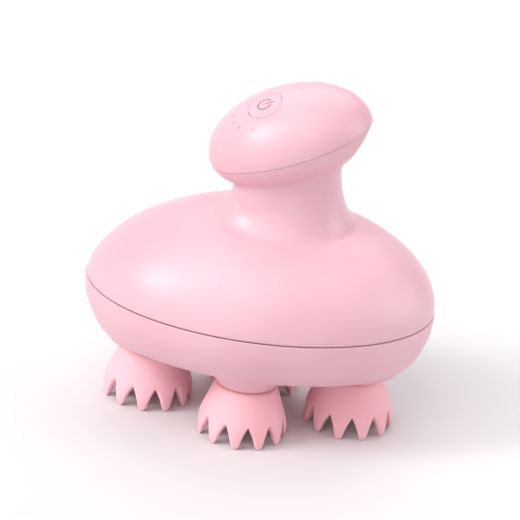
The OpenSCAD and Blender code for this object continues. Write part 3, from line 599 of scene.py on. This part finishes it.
class MASSAGER_OT_knob_cap(bpy.types.Operator):
    """Model the cap of the knob, with its button hole and light holes"""
    bl_idname = "massager.knob_cap"
    bl_label = "Knob cap"
    hole_span = (-6, 4)             # heights, seen from the button, between which its hole is cut
    light_span = (-9, 3)            # the same for the holes over the lights
    egg_cuts = 55
    rim = 0.2

    def execute(self, context):
        body = context.scene.massager_body
        knob = context.scene.massager_knob
        cap = oval_egg("knob_cap_skin", self.egg_cuts, knob.length / 2, knob.width / 2, knob.rise)
        edge = MASSAGER_OT_upper_shell.knob_gap / 2 - knob.seam_drop
        trim(cap, (0, 0, edge * MM), (0, 0, -1))
        thicken(cap, body.wall * MM)
        soften_sharp_edges(cap, FIRM_EDGE, self.rim * MM)
        settle(cap, knob_frame())
        hole = rod(knob.button_radius + knob.button_gap, *self.hole_span, sides=96)
        settle(hole, button_frame())
        combine(cap, hole, "DIFFERENCE")
        lights = []
        for degrees, reach in LIGHTS:
            angle = math.radians(degrees)
            lights.append(rod(knob.light_radius, *self.light_span, reach * math.cos(angle),
                              reach * math.sin(angle), sides=32))
        lights = join(lights)
        settle(lights, button_frame())
        combine(cap, lights, "DIFFERENCE")
        smooth(cap)
        dress(cap, materials("shell_plastic"), "housing", "shell_plastic", "knob_cap")
        return {"FINISHED"}


class MASSAGER_OT_power_button(bpy.types.Operator):
    """Model the power button with its grooved mark"""
    bl_idname = "massager.power_button"
    bl_label = "Power button"
    body_span = (-3.3, 3)           # heights of the button before the knob's form is cut from it
    flange_span = (-4.2, -3.25)
    stem_span = (-4.5, -3.2)
    flange_reach = 1.4              # how far the flange stands out under the cap
    stem_radius = 1.6
    egg_cuts = 95
    rim = 0.12

    def execute(self, context):
        knob = context.scene.massager_knob
        button = rod(knob.button_radius, *self.body_span, sides=96)
        settle(button, button_frame())
        egg = oval_egg("egg", self.egg_cuts, knob.length / 2, knob.width / 2, knob.rise)
        settle(egg, knob_frame())
        combine(button, egg, "INTERSECT")
        soften_sharp_edges(button, math.radians(50), self.rim * MM)
        flange = join([rod(knob.button_radius + self.flange_reach, *self.flange_span, sides=64),
                       rod(self.stem_radius, *self.stem_span, sides=32)])
        settle(flange, button_frame())
        combine(button, flange, "UNION")
        button.data.materials.append(materials("shell_plastic"))
        mark = self.mark(knob.mark_radius, knob.mark_width)
        mark.data.materials.append(materials("mark"))
        settle(mark, button_frame() @ Matrix.Translation((0, 0, -knob.mark_drop * MM)))
        finish_modifier(button, "BOOLEAN", operation="DIFFERENCE", object=mark, solver="EXACT",
                        material_mode="TRANSFER")
        bpy.data.objects.remove(mark, do_unlink=True)
        button.name = "power_button_skin"
        smooth(button, math.radians(30))
        dress(button, None, "button", "shell_plastic", "power_button")
        return {"FINISHED"}

    def mark(self, radius, width):
        """The power mark as a cutter: an open circle and a short bar."""
        opening = 3.4 * width
        bar_length, bar_middle = 1.35 * radius, 0.8 * radius
        leave()
        bpy.ops.mesh.primitive_torus_add(
            major_segments=96, minor_segments=12,
            major_radius=radius * MM, minor_radius=width / 2 * MM)
        circle = newest("mark")
        leave()
        bpy.ops.mesh.primitive_cube_add(
            size=1, location=(radius * MM, 0, 0), scale=(radius * MM, opening * MM, radius * MM))
        combine(circle, newest("gap"), "DIFFERENCE")
        leave()
        bpy.ops.mesh.primitive_cylinder_add(
            vertices=16, radius=width / 2 * MM, depth=bar_length * MM,
            rotation=(0, math.pi / 2, 0), location=(bar_middle * MM, 0, 0))
        return join([circle, newest("bar")])


# ---------------------------------------------------------------- massage heads


class MASSAGER_OT_massage_heads(bpy.types.Operator):
    """Model one massage head and copy it to its four places"""
    bl_idname = "massager.massage_heads"
    bl_label = "Massage heads"
    bell = (                        # radius and height, from the top down to the roots of the fingers
        (2.4, 19.8), (4.3, 19.8), (7.5, 19.8), (10.0, 19.75), (11.0, 19.0), (11.7, 17.5),
        (12.5, 15.3), (13.4, 12.8), (14.3, 10.4), (15.0, 8.5),
    )
    finger = (                      # radius, height and share of the root's width, down to the tip
        (15.2, 7.9, 0.96), (15.6, 6.4, 0.80), (15.9, 4.8, 0.66), (16.0, 3.0, 0.54),
        (16.0, 1.5, 0.45), (15.8, 0.5, 0.36), (15.6, 0.02, 0.24),
    )
    seats = (                       # radius, foot and top: core, its boss, screw, and seal of the spindle
        (6.02, 10, 14.42), (4.02, 14, 17.62), (2.4, 17, 19), (4.2, 18.2, 21),
    )
    finger_facets = 4
    first_nub = math.radians(11)

    def execute(self, context):
        head = self.model(context.scene.massager_head)
        for name in HEADS:
            piece = head.copy()
            piece.data = head.data.copy()
            piece.name = f"massage_head_{name}_skin"
            context.scene.collection.objects.link(piece)
            centre = middle("spindle_" + name)
            place = Matrix.Translation((centre.x, centre.y, 0))
            settle(piece, place @ Matrix.Rotation(math.radians(HEAD_TURNS[name]), 4, "Z"))
            dress(piece, materials("head_silicone"), "head_" + name, "head_silicone",
                  "massage_head_" + name)
        bpy.data.objects.remove(head, do_unlink=True)
        return {"FINISHED"}

    def model(self, sizes):
        """A bell whose skirt ends in tapering fingers, with nubs inside."""
        leave()
        bpy.ops.mesh.primitive_circle_add(
            vertices=sizes.fingers * self.finger_facets, radius=self.bell[0][0] * MM)
        head = newest("massage_head")
        half_turn = math.pi / sizes.fingers + 0.001
        bpy.ops.object.mode_set(mode="EDIT")
        choose(head, "VERT", lambda v: abs(math.atan2(v.co.y, v.co.x)) > half_turn)
        bpy.ops.mesh.delete(type="VERT")
        bpy.ops.mesh.select_mode(type="EDGE")
        bpy.ops.mesh.select_all(action="SELECT")
        bpy.ops.transform.translate(value=(0, 0, self.bell[0][1] * MM))
        for (r0, z0), (r1, z1) in zip(self.bell, self.bell[1:]):
            bpy.ops.mesh.extrude_edges_move()
            bpy.ops.transform.resize(value=(r1 / r0, r1 / r0, 1), center_override=(0, 0, 0))
            bpy.ops.transform.translate(value=(0, 0, (z1 - z0) * MM))
        (r0, z0), w0 = self.bell[-1], 1
        for r1, z1, w1 in self.finger:
            bpy.ops.mesh.extrude_edges_move()
            bpy.ops.transform.resize(value=(1, w1 / w0, 1), center_override=(0, 0, 0))
            bpy.ops.transform.translate(value=((r1 - r0) * MM, 0, (z1 - z0) * MM))
            r0, z0, w0 = r1, z1, w1
        bpy.ops.mesh.select_all(action="SELECT")
        bpy.ops.mesh.spin(steps=sizes.fingers, dupli=True, angle=2 * math.pi,
                          center=(0, 0, 0), axis=(0, 0, 1))
        bpy.ops.mesh.select_all(action="SELECT")
        bpy.ops.mesh.remove_doubles(threshold=0.02 * MM)
        bpy.ops.mesh.normals_make_consistent(inside=False)
        leave()
        thicken(head, sizes.wall * MM)
        subdivide(head, 2)
        self.fill_ceiling(head, sizes)
        return head

    def fill_ceiling(self, head, sizes):
        """Thicken the middle of a head, seat its core in it and hang the inner nubs from it."""
        plug = ((11.0, sizes.ceiling), (10.6, 15.0), (10.0, 17.0), (9.2, 18.4))
        plug = loft("plug", [ring((-r, z), (r, z), r) for r, z in plug], 96, fill=True)
        combine(head, plug, "UNION")
        for radius, low, high in self.seats:
            combine(head, rod(radius, low, high, sides=96), "DIFFERENCE")
        for place in range(sizes.nubs):
            angle = 2 * math.pi * place / sizes.nubs + self.first_nub
            nub = self.nub(sizes.ceiling)
            settle(nub, Matrix.Translation(
                Vector((math.cos(angle), math.sin(angle), 0)) * sizes.nub_ring * MM))
            combine(head, nub, "UNION")

    def nub(self, ceiling):
        """One small soft finger of the inner ring."""
        profile = ((1.9, ceiling + 0.8), (1.85, ceiling - 0.6), (1.6, 9), (1.35, 5), (1.2, 2.6),
                   (1.05, 1.7), (0.7, 1.1), (0.3, 0.92))
        return loft("nub", [ring((-r, z), (r, z), r) for r, z in profile], 24, fill=True)


# ---------------------------------------------------------------- node groups of the finishes


def shader_group(name, inputs, outputs):
    """A new node group with its sockets, its input node and its output node."""
    tree = bpy.data.node_groups.new(name, "ShaderNodeTree")
    for label, kind, value in inputs:
        socket = tree.interface.new_socket(label, in_out="INPUT", socket_type="NodeSocket" + kind)
        socket.default_value = value
    for label, kind in outputs:
        tree.interface.new_socket(label, in_out="OUTPUT", socket_type="NodeSocket" + kind)
    return tree, tree.nodes.new("NodeGroupInput"), tree.nodes.new("NodeGroupOutput")


def add(tree, kind, **settings):
    """Add a shader node; a setting is a socket's value, or else one of the node's own."""
    node = tree.nodes.new("ShaderNode" + kind)
    for name, value in settings.items():
        if name in node.inputs:
            node.inputs[name].default_value = value
        else:
            setattr(node, name, value)
    return node


def noise_in_place(tree, stretch=(1, 1, 1), detail=3.0):
    """Noise over the object's own coordinates, stretched along its axes."""
    place = add(tree, "TexCoord")
    mapping = add(tree, "Mapping", Scale=stretch)
    noise = add(tree, "TexNoise", Detail=detail)
    tree.links.new(place.outputs["Object"], mapping.inputs["Vector"])
    tree.links.new(mapping.outputs["Vector"], noise.inputs["Vector"])
    return noise


def spread(tree, value, low, high):
    """Spread the middle of a noise over a range."""
    span = add(tree, "MapRange")
    span.inputs["From Min"].default_value = 0.35
    span.inputs["From Max"].default_value = 0.65
    for name, limit in (("To Min", low), ("To Max", high)):
        if isinstance(limit, (int, float)):
            span.inputs[name].default_value = limit
        else:
            tree.links.new(limit, span.inputs[name])
    tree.links.new(value, span.inputs["Value"])
    return span.outputs["Result"]


def blend_colours(tree, factor, first, second):
    """Mix two colours by a factor."""
    mix = add(tree, "Mix", data_type="RGBA")
    tree.links.new(factor, mix.inputs["Factor"])
    for name, source in (("A", first), ("B", second)):
        tree.links.new(source, next(i for i in mix.inputs if i.name == name and i.type == "RGBA"))
    return next(o for o in mix.outputs if o.type == "RGBA")


def grain_group():
    """Fine moulded grain: a normal to shade by and its mask."""
    tree, given, result = shader_group(
        "moulded_grain", (("Scale", "Float", 2200), ("Depth", "Float", 0.00002)),
        (("Mask", "Float"), ("Normal", "Vector")))
    noise = noise_in_place(tree)
    bump = add(tree, "Bump", Strength=0.6)
    tree.links.new(given.outputs["Scale"], noise.inputs["Scale"])
    tree.links.new(given.outputs["Depth"], bump.inputs["Distance"])
    tree.links.new(noise.outputs["Fac"], bump.inputs["Height"])
    tree.links.new(noise.outputs["Fac"], result.inputs["Mask"])
    tree.links.new(bump.outputs["Normal"], result.inputs["Normal"])
    return tree


def turned_group():
    """Fine rings round an upright part that was turned on a lathe."""
    tree, given, result = shader_group(
        "turned_rings", (("Scale", "Float", 3000), ("Depth", "Float", 0.00001)),
        (("Mask", "Float"), ("Normal", "Vector")))
    noise = noise_in_place(tree, stretch=(0.04, 0.04, 1), detail=1.0)
    bump = add(tree, "Bump", Strength=0.5)
    tree.links.new(given.outputs["Scale"], noise.inputs["Scale"])
    tree.links.new(given.outputs["Depth"], bump.inputs["Distance"])
    tree.links.new(noise.outputs["Fac"], bump.inputs["Height"])
    tree.links.new(noise.outputs["Fac"], result.inputs["Mask"])
    tree.links.new(bump.outputs["Normal"], result.inputs["Normal"])
    return tree


def drift_group():
    """A slow change of tone over a moulding."""
    tree, given, result = shader_group(
        "tone_drift",
        (("Colour", "Color", (1, 1, 1, 1)), ("Deep Colour", "Color", (0.9, 0.9, 0.9, 1)),
         ("Scale", "Float", 22)),
        (("Colour", "Color"),))
    noise = noise_in_place(tree, detail=2.0)
    tree.links.new(given.outputs["Scale"], noise.inputs["Scale"])
    factor = spread(tree, noise.outputs["Fac"], 0.0, 1.0)
    mixed = blend_colours(tree, factor, given.outputs["Colour"], given.outputs["Deep Colour"])
    tree.links.new(mixed, result.inputs["Colour"])
    return tree


def wear_group():
    """Edges rubbed to another tone where they stand out, broken up by noise."""
    tree, given, result = shader_group(
        "edge_wear",
        (("Colour", "Color", (1, 1, 1, 1)), ("Worn Colour", "Color", (1, 1, 1, 1)),
         ("Amount", "Float", 0.5)),
        (("Colour", "Color"), ("Mask", "Float")))
    edges = add(tree, "NewGeometry")
    reach = add(tree, "MapRange")
    reach.inputs["From Min"].default_value = 0.52
    reach.inputs["From Max"].default_value = 0.66
    noise = noise_in_place(tree, detail=4.0)
    noise.inputs["Scale"].default_value = 240
    broken = add(tree, "Math", operation="MULTIPLY")
    scaled = add(tree, "Math", operation="MULTIPLY", use_clamp=True)
    tree.links.new(edges.outputs["Pointiness"], reach.inputs["Value"])
    tree.links.new(reach.outputs["Result"], broken.inputs[0])
    tree.links.new(spread(tree, noise.outputs["Fac"], 0.3, 1.0), broken.inputs[1])
    tree.links.new(broken.outputs["Value"], scaled.inputs[0])
    tree.links.new(given.outputs["Amount"], scaled.inputs[1])
    mixed = blend_colours(tree, scaled.outputs["Value"], given.outputs["Colour"],
                          given.outputs["Worn Colour"])
    tree.links.new(mixed, result.inputs["Colour"])
    tree.links.new(scaled.outputs["Value"], result.inputs["Mask"])
    return tree


def polish_group():
    """Roughness that varies softly, as handling leaves it."""
    tree, given, result = shader_group(
        "uneven_polish", (("Smooth", "Float", 0.3), ("Rough", "Float", 0.5), ("Scale", "Float", 60)),
        (("Roughness", "Float"),))
    noise = noise_in_place(tree)
    tree.links.new(given.outputs["Scale"], noise.inputs["Scale"])
    level = spread(tree, noise.outputs["Fac"], given.outputs["Smooth"], given.outputs["Rough"])
    tree.links.new(level, result.inputs["Roughness"])
    return tree


def stripe_group():
    """Straight tracks in two directions, as on a printed board."""
    tree, given, result = shader_group(
        "board_tracks",
        (("Colour", "Color", (1, 1, 1, 1)), ("Track Colour", "Color", (1, 1, 1, 1)),
         ("Scale", "Float", 400)),
        (("Colour", "Color"), ("Mask", "Float")))
    place = add(tree, "TexCoord")
    tracks = add(tree, "TexBrick")
    tracks.inputs["Mortar Size"].default_value = 0.08
    tracks.inputs["Color1"].default_value = (0, 0, 0, 1)
    tracks.inputs["Color2"].default_value = (0, 0, 0, 1)
    tracks.inputs["Mortar"].default_value = (1, 1, 1, 1)
    tree.links.new(place.outputs["Object"], tracks.inputs["Vector"])
    tree.links.new(given.outputs["Scale"], tracks.inputs["Scale"])
    mixed = blend_colours(tree, tracks.outputs["Color"], given.outputs["Colour"],
                          given.outputs["Track Colour"])
    tree.links.new(mixed, result.inputs["Colour"])
    tree.links.new(tracks.outputs["Color"], result.inputs["Mask"])
    return tree


GROUP_MAKERS = {
    "moulded_grain": grain_group,
    "turned_rings": turned_group,
    "tone_drift": drift_group,
    "edge_wear": wear_group,
    "uneven_polish": polish_group,
    "board_tracks": stripe_group,
}


def shared(tree, name, **values):
    """Add a shared node group to a material, made the first time it is asked for."""
    if name not in bpy.data.node_groups:
        GROUP_MAKERS[name]()
    node = add(tree, "Group")
    node.node_tree = bpy.data.node_groups[name]
    for label, value in values.items():
        node.inputs[label.replace("_", " ")].default_value = value
    return node


# ---------------------------------------------------------------- finishes


def solid(red, green, blue):
    return (red, green, blue, 1)


def deeper(tone, share=0.93):
    """A slightly deeper tone of a colour."""
    return solid(tone[0] * share, tone[1] * share * share, tone[2] * share * share)


def finish_of(name, tone, polish, grain, surface="moulded_grain", worn=None, wear=0.4, drift=22,
              **constants):
    """A finish with a drifting tone, worn edges, uneven polish and a fine surface.

    The frame holds a plain material with each slot's name, so a finish has a name of its own."""
    material = bpy.data.materials.new(name + "_finish")
    material.use_nodes = True
    tree = material.node_tree
    shader = tree.nodes["Principled BSDF"]
    for label, value in constants.items():
        shader.inputs[label.replace("_", " ")].default_value = value
    tone = solid(*tone[:3])
    drifting = shared(tree, "tone_drift", Colour=tone, Deep_Colour=deeper(tone), Scale=drift)
    lighter = worn or solid(*(1 - 0.8 * (1 - part) for part in tone[:3]))
    edges = shared(tree, "edge_wear", Worn_Colour=lighter, Amount=wear)
    sheen = shared(tree, "uneven_polish", Smooth=polish[0], Rough=polish[1])
    skin = shared(tree, surface, Scale=grain[0], Depth=grain[1])
    tree.links.new(drifting.outputs["Colour"], edges.inputs["Colour"])
    tree.links.new(edges.outputs["Colour"], shader.inputs["Base Color"])
    tree.links.new(sheen.outputs["Roughness"], shader.inputs["Roughness"])
    tree.links.new(skin.outputs["Normal"], shader.inputs["Normal"])
    return material


def shell_plastic():
    """Soft satin plastic, slightly translucent."""
    return finish_of("shell_plastic", bpy.context.scene.massager_finish.shell, (0.30, 0.38),
                     (2600, 0.000012), wear=0.12, Subsurface_Weight=0.2, Subsurface_Scale=0.006,
                     Subsurface_Radius=(1.0, 0.45, 0.4), Specular_IOR_Level=0.5)


def head_silicone():
    """Matt silicone that lets some light through its thin fingers."""
    return finish_of("head_silicone", bpy.context.scene.massager_finish.silicone, (0.50, 0.62),
                     (1800, 0.00002), wear=0.25, Subsurface_Weight=0.3, Subsurface_Scale=0.005,
                     Subsurface_Radius=(1.0, 0.35, 0.3), Specular_IOR_Level=0.4, Sheen_Weight=0.08)


def mark():
    """Deeper, matt bottoms of the engraved grooves."""
    return finish_of("mark", bpy.context.scene.massager_finish.mark, (0.6, 0.75), (3000, 0.00001))


def seal_rubber():
    return finish_of("seal_rubber", bpy.context.scene.massager_finish.seal, (0.6, 0.75),
                     (2400, 0.00002))


def clear_plastic():
    """Smoked light guides."""
    return finish_of("clear_plastic", (0.58, 0.34, 0.38), (0.2, 0.3), (3000, 0.000004),
                     Coat_Weight=0.2)


def board_green():
    """Solder mask with paler tracks under it."""
    mask = (0.03, 0.22, 0.09)
    material = finish_of("board_green", mask, (0.25, 0.4), (2000, 0.00001))
    tree = material.node_tree
    shader = tree.nodes["Principled BSDF"]
    tracks = shared(tree, "board_tracks", Colour=solid(*mask), Track_Colour=solid(0.1, 0.42, 0.16))
    tree.links.new(tracks.outputs["Colour"], shader.inputs["Base Color"])
    return material


def black_plastic():
    return finish_of("black_plastic", (0.025, 0.025, 0.028), (0.35, 0.5), (2200, 0.00002))


def lead_red():
    return finish_of("lead_red", (0.55, 0.03, 0.03), (0.35, 0.45), (2500, 0.000008))


def lead_black():
    return finish_of("lead_black", (0.03, 0.03, 0.03), (0.4, 0.5), (2500, 0.000008))


def white_plastic():
    return finish_of("white_plastic", (0.82, 0.81, 0.78), (0.35, 0.5), (2400, 0.000015))


def gear_nylon():
    """Waxy nylon of the gears, plates and cores."""
    return finish_of("gear_nylon", (0.84, 0.80, 0.70), (0.35, 0.48), (2000, 0.000015),
                     Subsurface_Weight=0.15, Subsurface_Scale=0.003)


def steel():
    return finish_of("steel", (0.58, 0.58, 0.60), (0.22, 0.36), (3200, 0.000006),
                     surface="turned_rings", worn=solid(0.8, 0.8, 0.82), Metallic=1.0)


def brass():
    return finish_of("brass", (0.76, 0.55, 0.24), (0.2, 0.34), (3200, 0.000006),
                     surface="turned_rings", worn=solid(0.9, 0.75, 0.45), Metallic=1.0)


def cell_wrap():
    """Shrink wrap over the battery cell."""
    return finish_of("cell_wrap", (0.05, 0.16, 0.42), (0.2, 0.32), (900, 0.00003), Coat_Weight=0.4)


def floor_paint():
    return finish_of("floor_paint", bpy.context.scene.massager_finish.floor, (0.85, 0.95),
                     (400, 0.00001), wear=0.0, drift=1.2)


FINISHES = (
    shell_plastic, head_silicone, mark, seal_rubber, clear_plastic, board_green, black_plastic,
    lead_red, lead_black, white_plastic, gear_nylon, steel, brass, cell_wrap, floor_paint,
)


def materials(name):
    """The finish of a slot, made the first time it is asked for."""
    finish = name + "_finish"
    if finish not in bpy.data.materials:
        next(make for make in FINISHES if make.__name__ == name)()
    return bpy.data.materials[finish]


class MASSAGER_OT_carried_parts(bpy.types.Operator):
    """Give every part of the frame the finish of its slot"""
    bl_idname = "massager.carried_parts"
    bl_label = "Inner parts"

    def execute(self, context):
        for entry in frame["record"]["subparts"]:
            node = NODES[entry["node"]]
            node.data.materials.clear()
            node.data.materials.append(materials(entry["material_slot"]))
            smooth(node, math.radians(30))
        return {"FINISHED"}


# ---------------------------------------------------------------- stage


class MASSAGER_OT_stage(bpy.types.Operator):
    """Lay the floor, hang the lamps and aim the camera"""
    bl_idname = "massager.stage"
    bl_label = "Stage"
    floor_size = 12                 # metres
    room_tone = (1, 0.8, 0.92, 1)
    room_light = 0.25               # strength of the room as a light
    room_reflection = 1.0           # strength of the room in reflections
    lamps = (                       # name, azimuth, elevation and spread in degrees, and strength
        ("overhead", 0, 88, 100, 1.05),
        ("behind", 90, 50, 60, 0.85),
        ("key", -125, 40, 70, 1.55),
        ("window", -155, 35, 22, 1.35),
        ("edge", 5, 14, 40, 0.95),
    )
    view_yaw, view_rise, view_roll = -3.5, 25.1, 6.6  # degrees
    pixels_per_millimetre = 2.83
    foot_in_image = (246.6, 408.1)  # pixel over which the middle of the object's foot stands
    view_distance = 2.6             # metres
    aim_height = 55                 # millimetres

    def execute(self, context):
        leave()
        bpy.ops.mesh.primitive_plane_add(size=self.floor_size)
        floor = newest("floor")
        floor.data.materials.append(materials("floor_paint"))
        self.aim_camera(context)
        self.light(context)
        context.scene.view_settings.view_transform = "Standard"
        return {"FINISHED"}

    def aim_camera(self, context):
        """Place the camera from the yaw, elevation, roll and scale of the view."""
        yaw, rise, roll = (math.radians(a) for a in (self.view_yaw, self.view_rise, self.view_roll))
        scale = self.pixels_per_millimetre / MM
        foot_x, foot_y = self.foot_in_image
        across = Vector((math.cos(yaw), -math.sin(yaw), 0))
        up = Vector(
            (math.sin(yaw) * math.sin(rise), math.cos(yaw) * math.sin(rise), math.cos(rise)))
        right = across * math.cos(roll) + up * math.sin(roll)
        top = up * math.cos(roll) - across * math.sin(roll)
        back = right.cross(top)
        half = IMAGE_WIDTH / 2
        target = right * ((half - foot_x) / scale) + top * ((foot_y - half) / scale)
        target += back * back.dot(Vector((0, 0, self.aim_height * MM)))
        data = bpy.data.cameras.new("camera")
        data.sensor_width = 36
        data.lens = data.sensor_width * scale * self.view_distance / IMAGE_WIDTH
        data.clip_end = 20
        camera = bpy.data.objects.new("camera", data)
        place = Matrix((right, top, back)).transposed().to_4x4()
        place.translation = target + back * self.view_distance
        camera.matrix_world = place
        context.scene.collection.objects.link(camera)
        context.scene.camera = camera

    def light(self, context):
        """Light the room, which shows brighter in reflections, and hang the lamps."""
        world = bpy.data.worlds.new("room")
        world.use_nodes = True
        tree = world.node_tree
        room = tree.nodes["Background"]
        room.inputs["Color"].default_value = self.room_tone
        path = tree.nodes.new("ShaderNodeLightPath")
        strength = tree.nodes.new("ShaderNodeMapRange")
        strength.inputs["To Min"].default_value = self.room_light
        strength.inputs["To Max"].default_value = self.room_reflection
        tree.links.new(path.outputs["Is Glossy Ray"], strength.inputs["Value"])
        tree.links.new(strength.outputs["Result"], room.inputs["Strength"])
        context.scene.world = world
        for name, azimuth, elevation, spread_angle, power in self.lamps:
            data = bpy.data.lights.new(name, "SUN")
            data.angle = math.radians(spread_angle)
            data.energy = power
            lamp = bpy.data.objects.new(name, data)
            lamp.rotation_euler = (0, math.radians(90 - elevation), math.radians(azimuth))
            context.scene.collection.objects.link(lamp)


# ---------------------------------------------------------------- panel and registration


class MASSAGER_PT_panel(bpy.types.Panel):
    """Sizes, colours and pieces of the massager"""
    bl_idname = "MASSAGER_PT_panel"
    bl_label = "Scalp massager"
    bl_space_type = "VIEW_3D"
    bl_region_type = "UI"
    bl_category = "Massager"

    def draw(self, context):
        for group in GROUPS:
            box = self.layout.box()
            box.label(text=group.replace("massager_", "").title())
            settings = getattr(context.scene, group)
            for name in settings.__annotations__:
                box.prop(settings, name)
        for operator in OPERATORS:
            self.layout.operator(operator.bl_idname)


GROUPS = {
    "massager_body": MassagerBodySizes,
    "massager_knob": MassagerKnobSizes,
    "massager_head": MassagerHeadSizes,
    "massager_finish": MassagerFinish,
}
OPERATORS = (
    MASSAGER_OT_upper_shell,
    MASSAGER_OT_lower_cover,
    MASSAGER_OT_knob_cap,
    MASSAGER_OT_power_button,
    MASSAGER_OT_massage_heads,
    MASSAGER_OT_carried_parts,
    MASSAGER_OT_stage,
)
CLASSES = (*GROUPS.values(), *OPERATORS, MASSAGER_PT_panel)


def register():
    for cls in CLASSES:
        bpy.utils.register_class(cls)
    for name, group in GROUPS.items():
        setattr(bpy.types.Scene, name, PointerProperty(type=group))


def unregister():
    for name in GROUPS:
        delattr(bpy.types.Scene, name)
    for cls in reversed(CLASSES):
        bpy.utils.unregister_class(cls)


def main():
    register()
    for operator in OPERATORS:
        group, name = operator.bl_idname.split(".")
        getattr(getattr(bpy.ops, group), name)()
    leave()


if __name__ == "__main__":
    main()
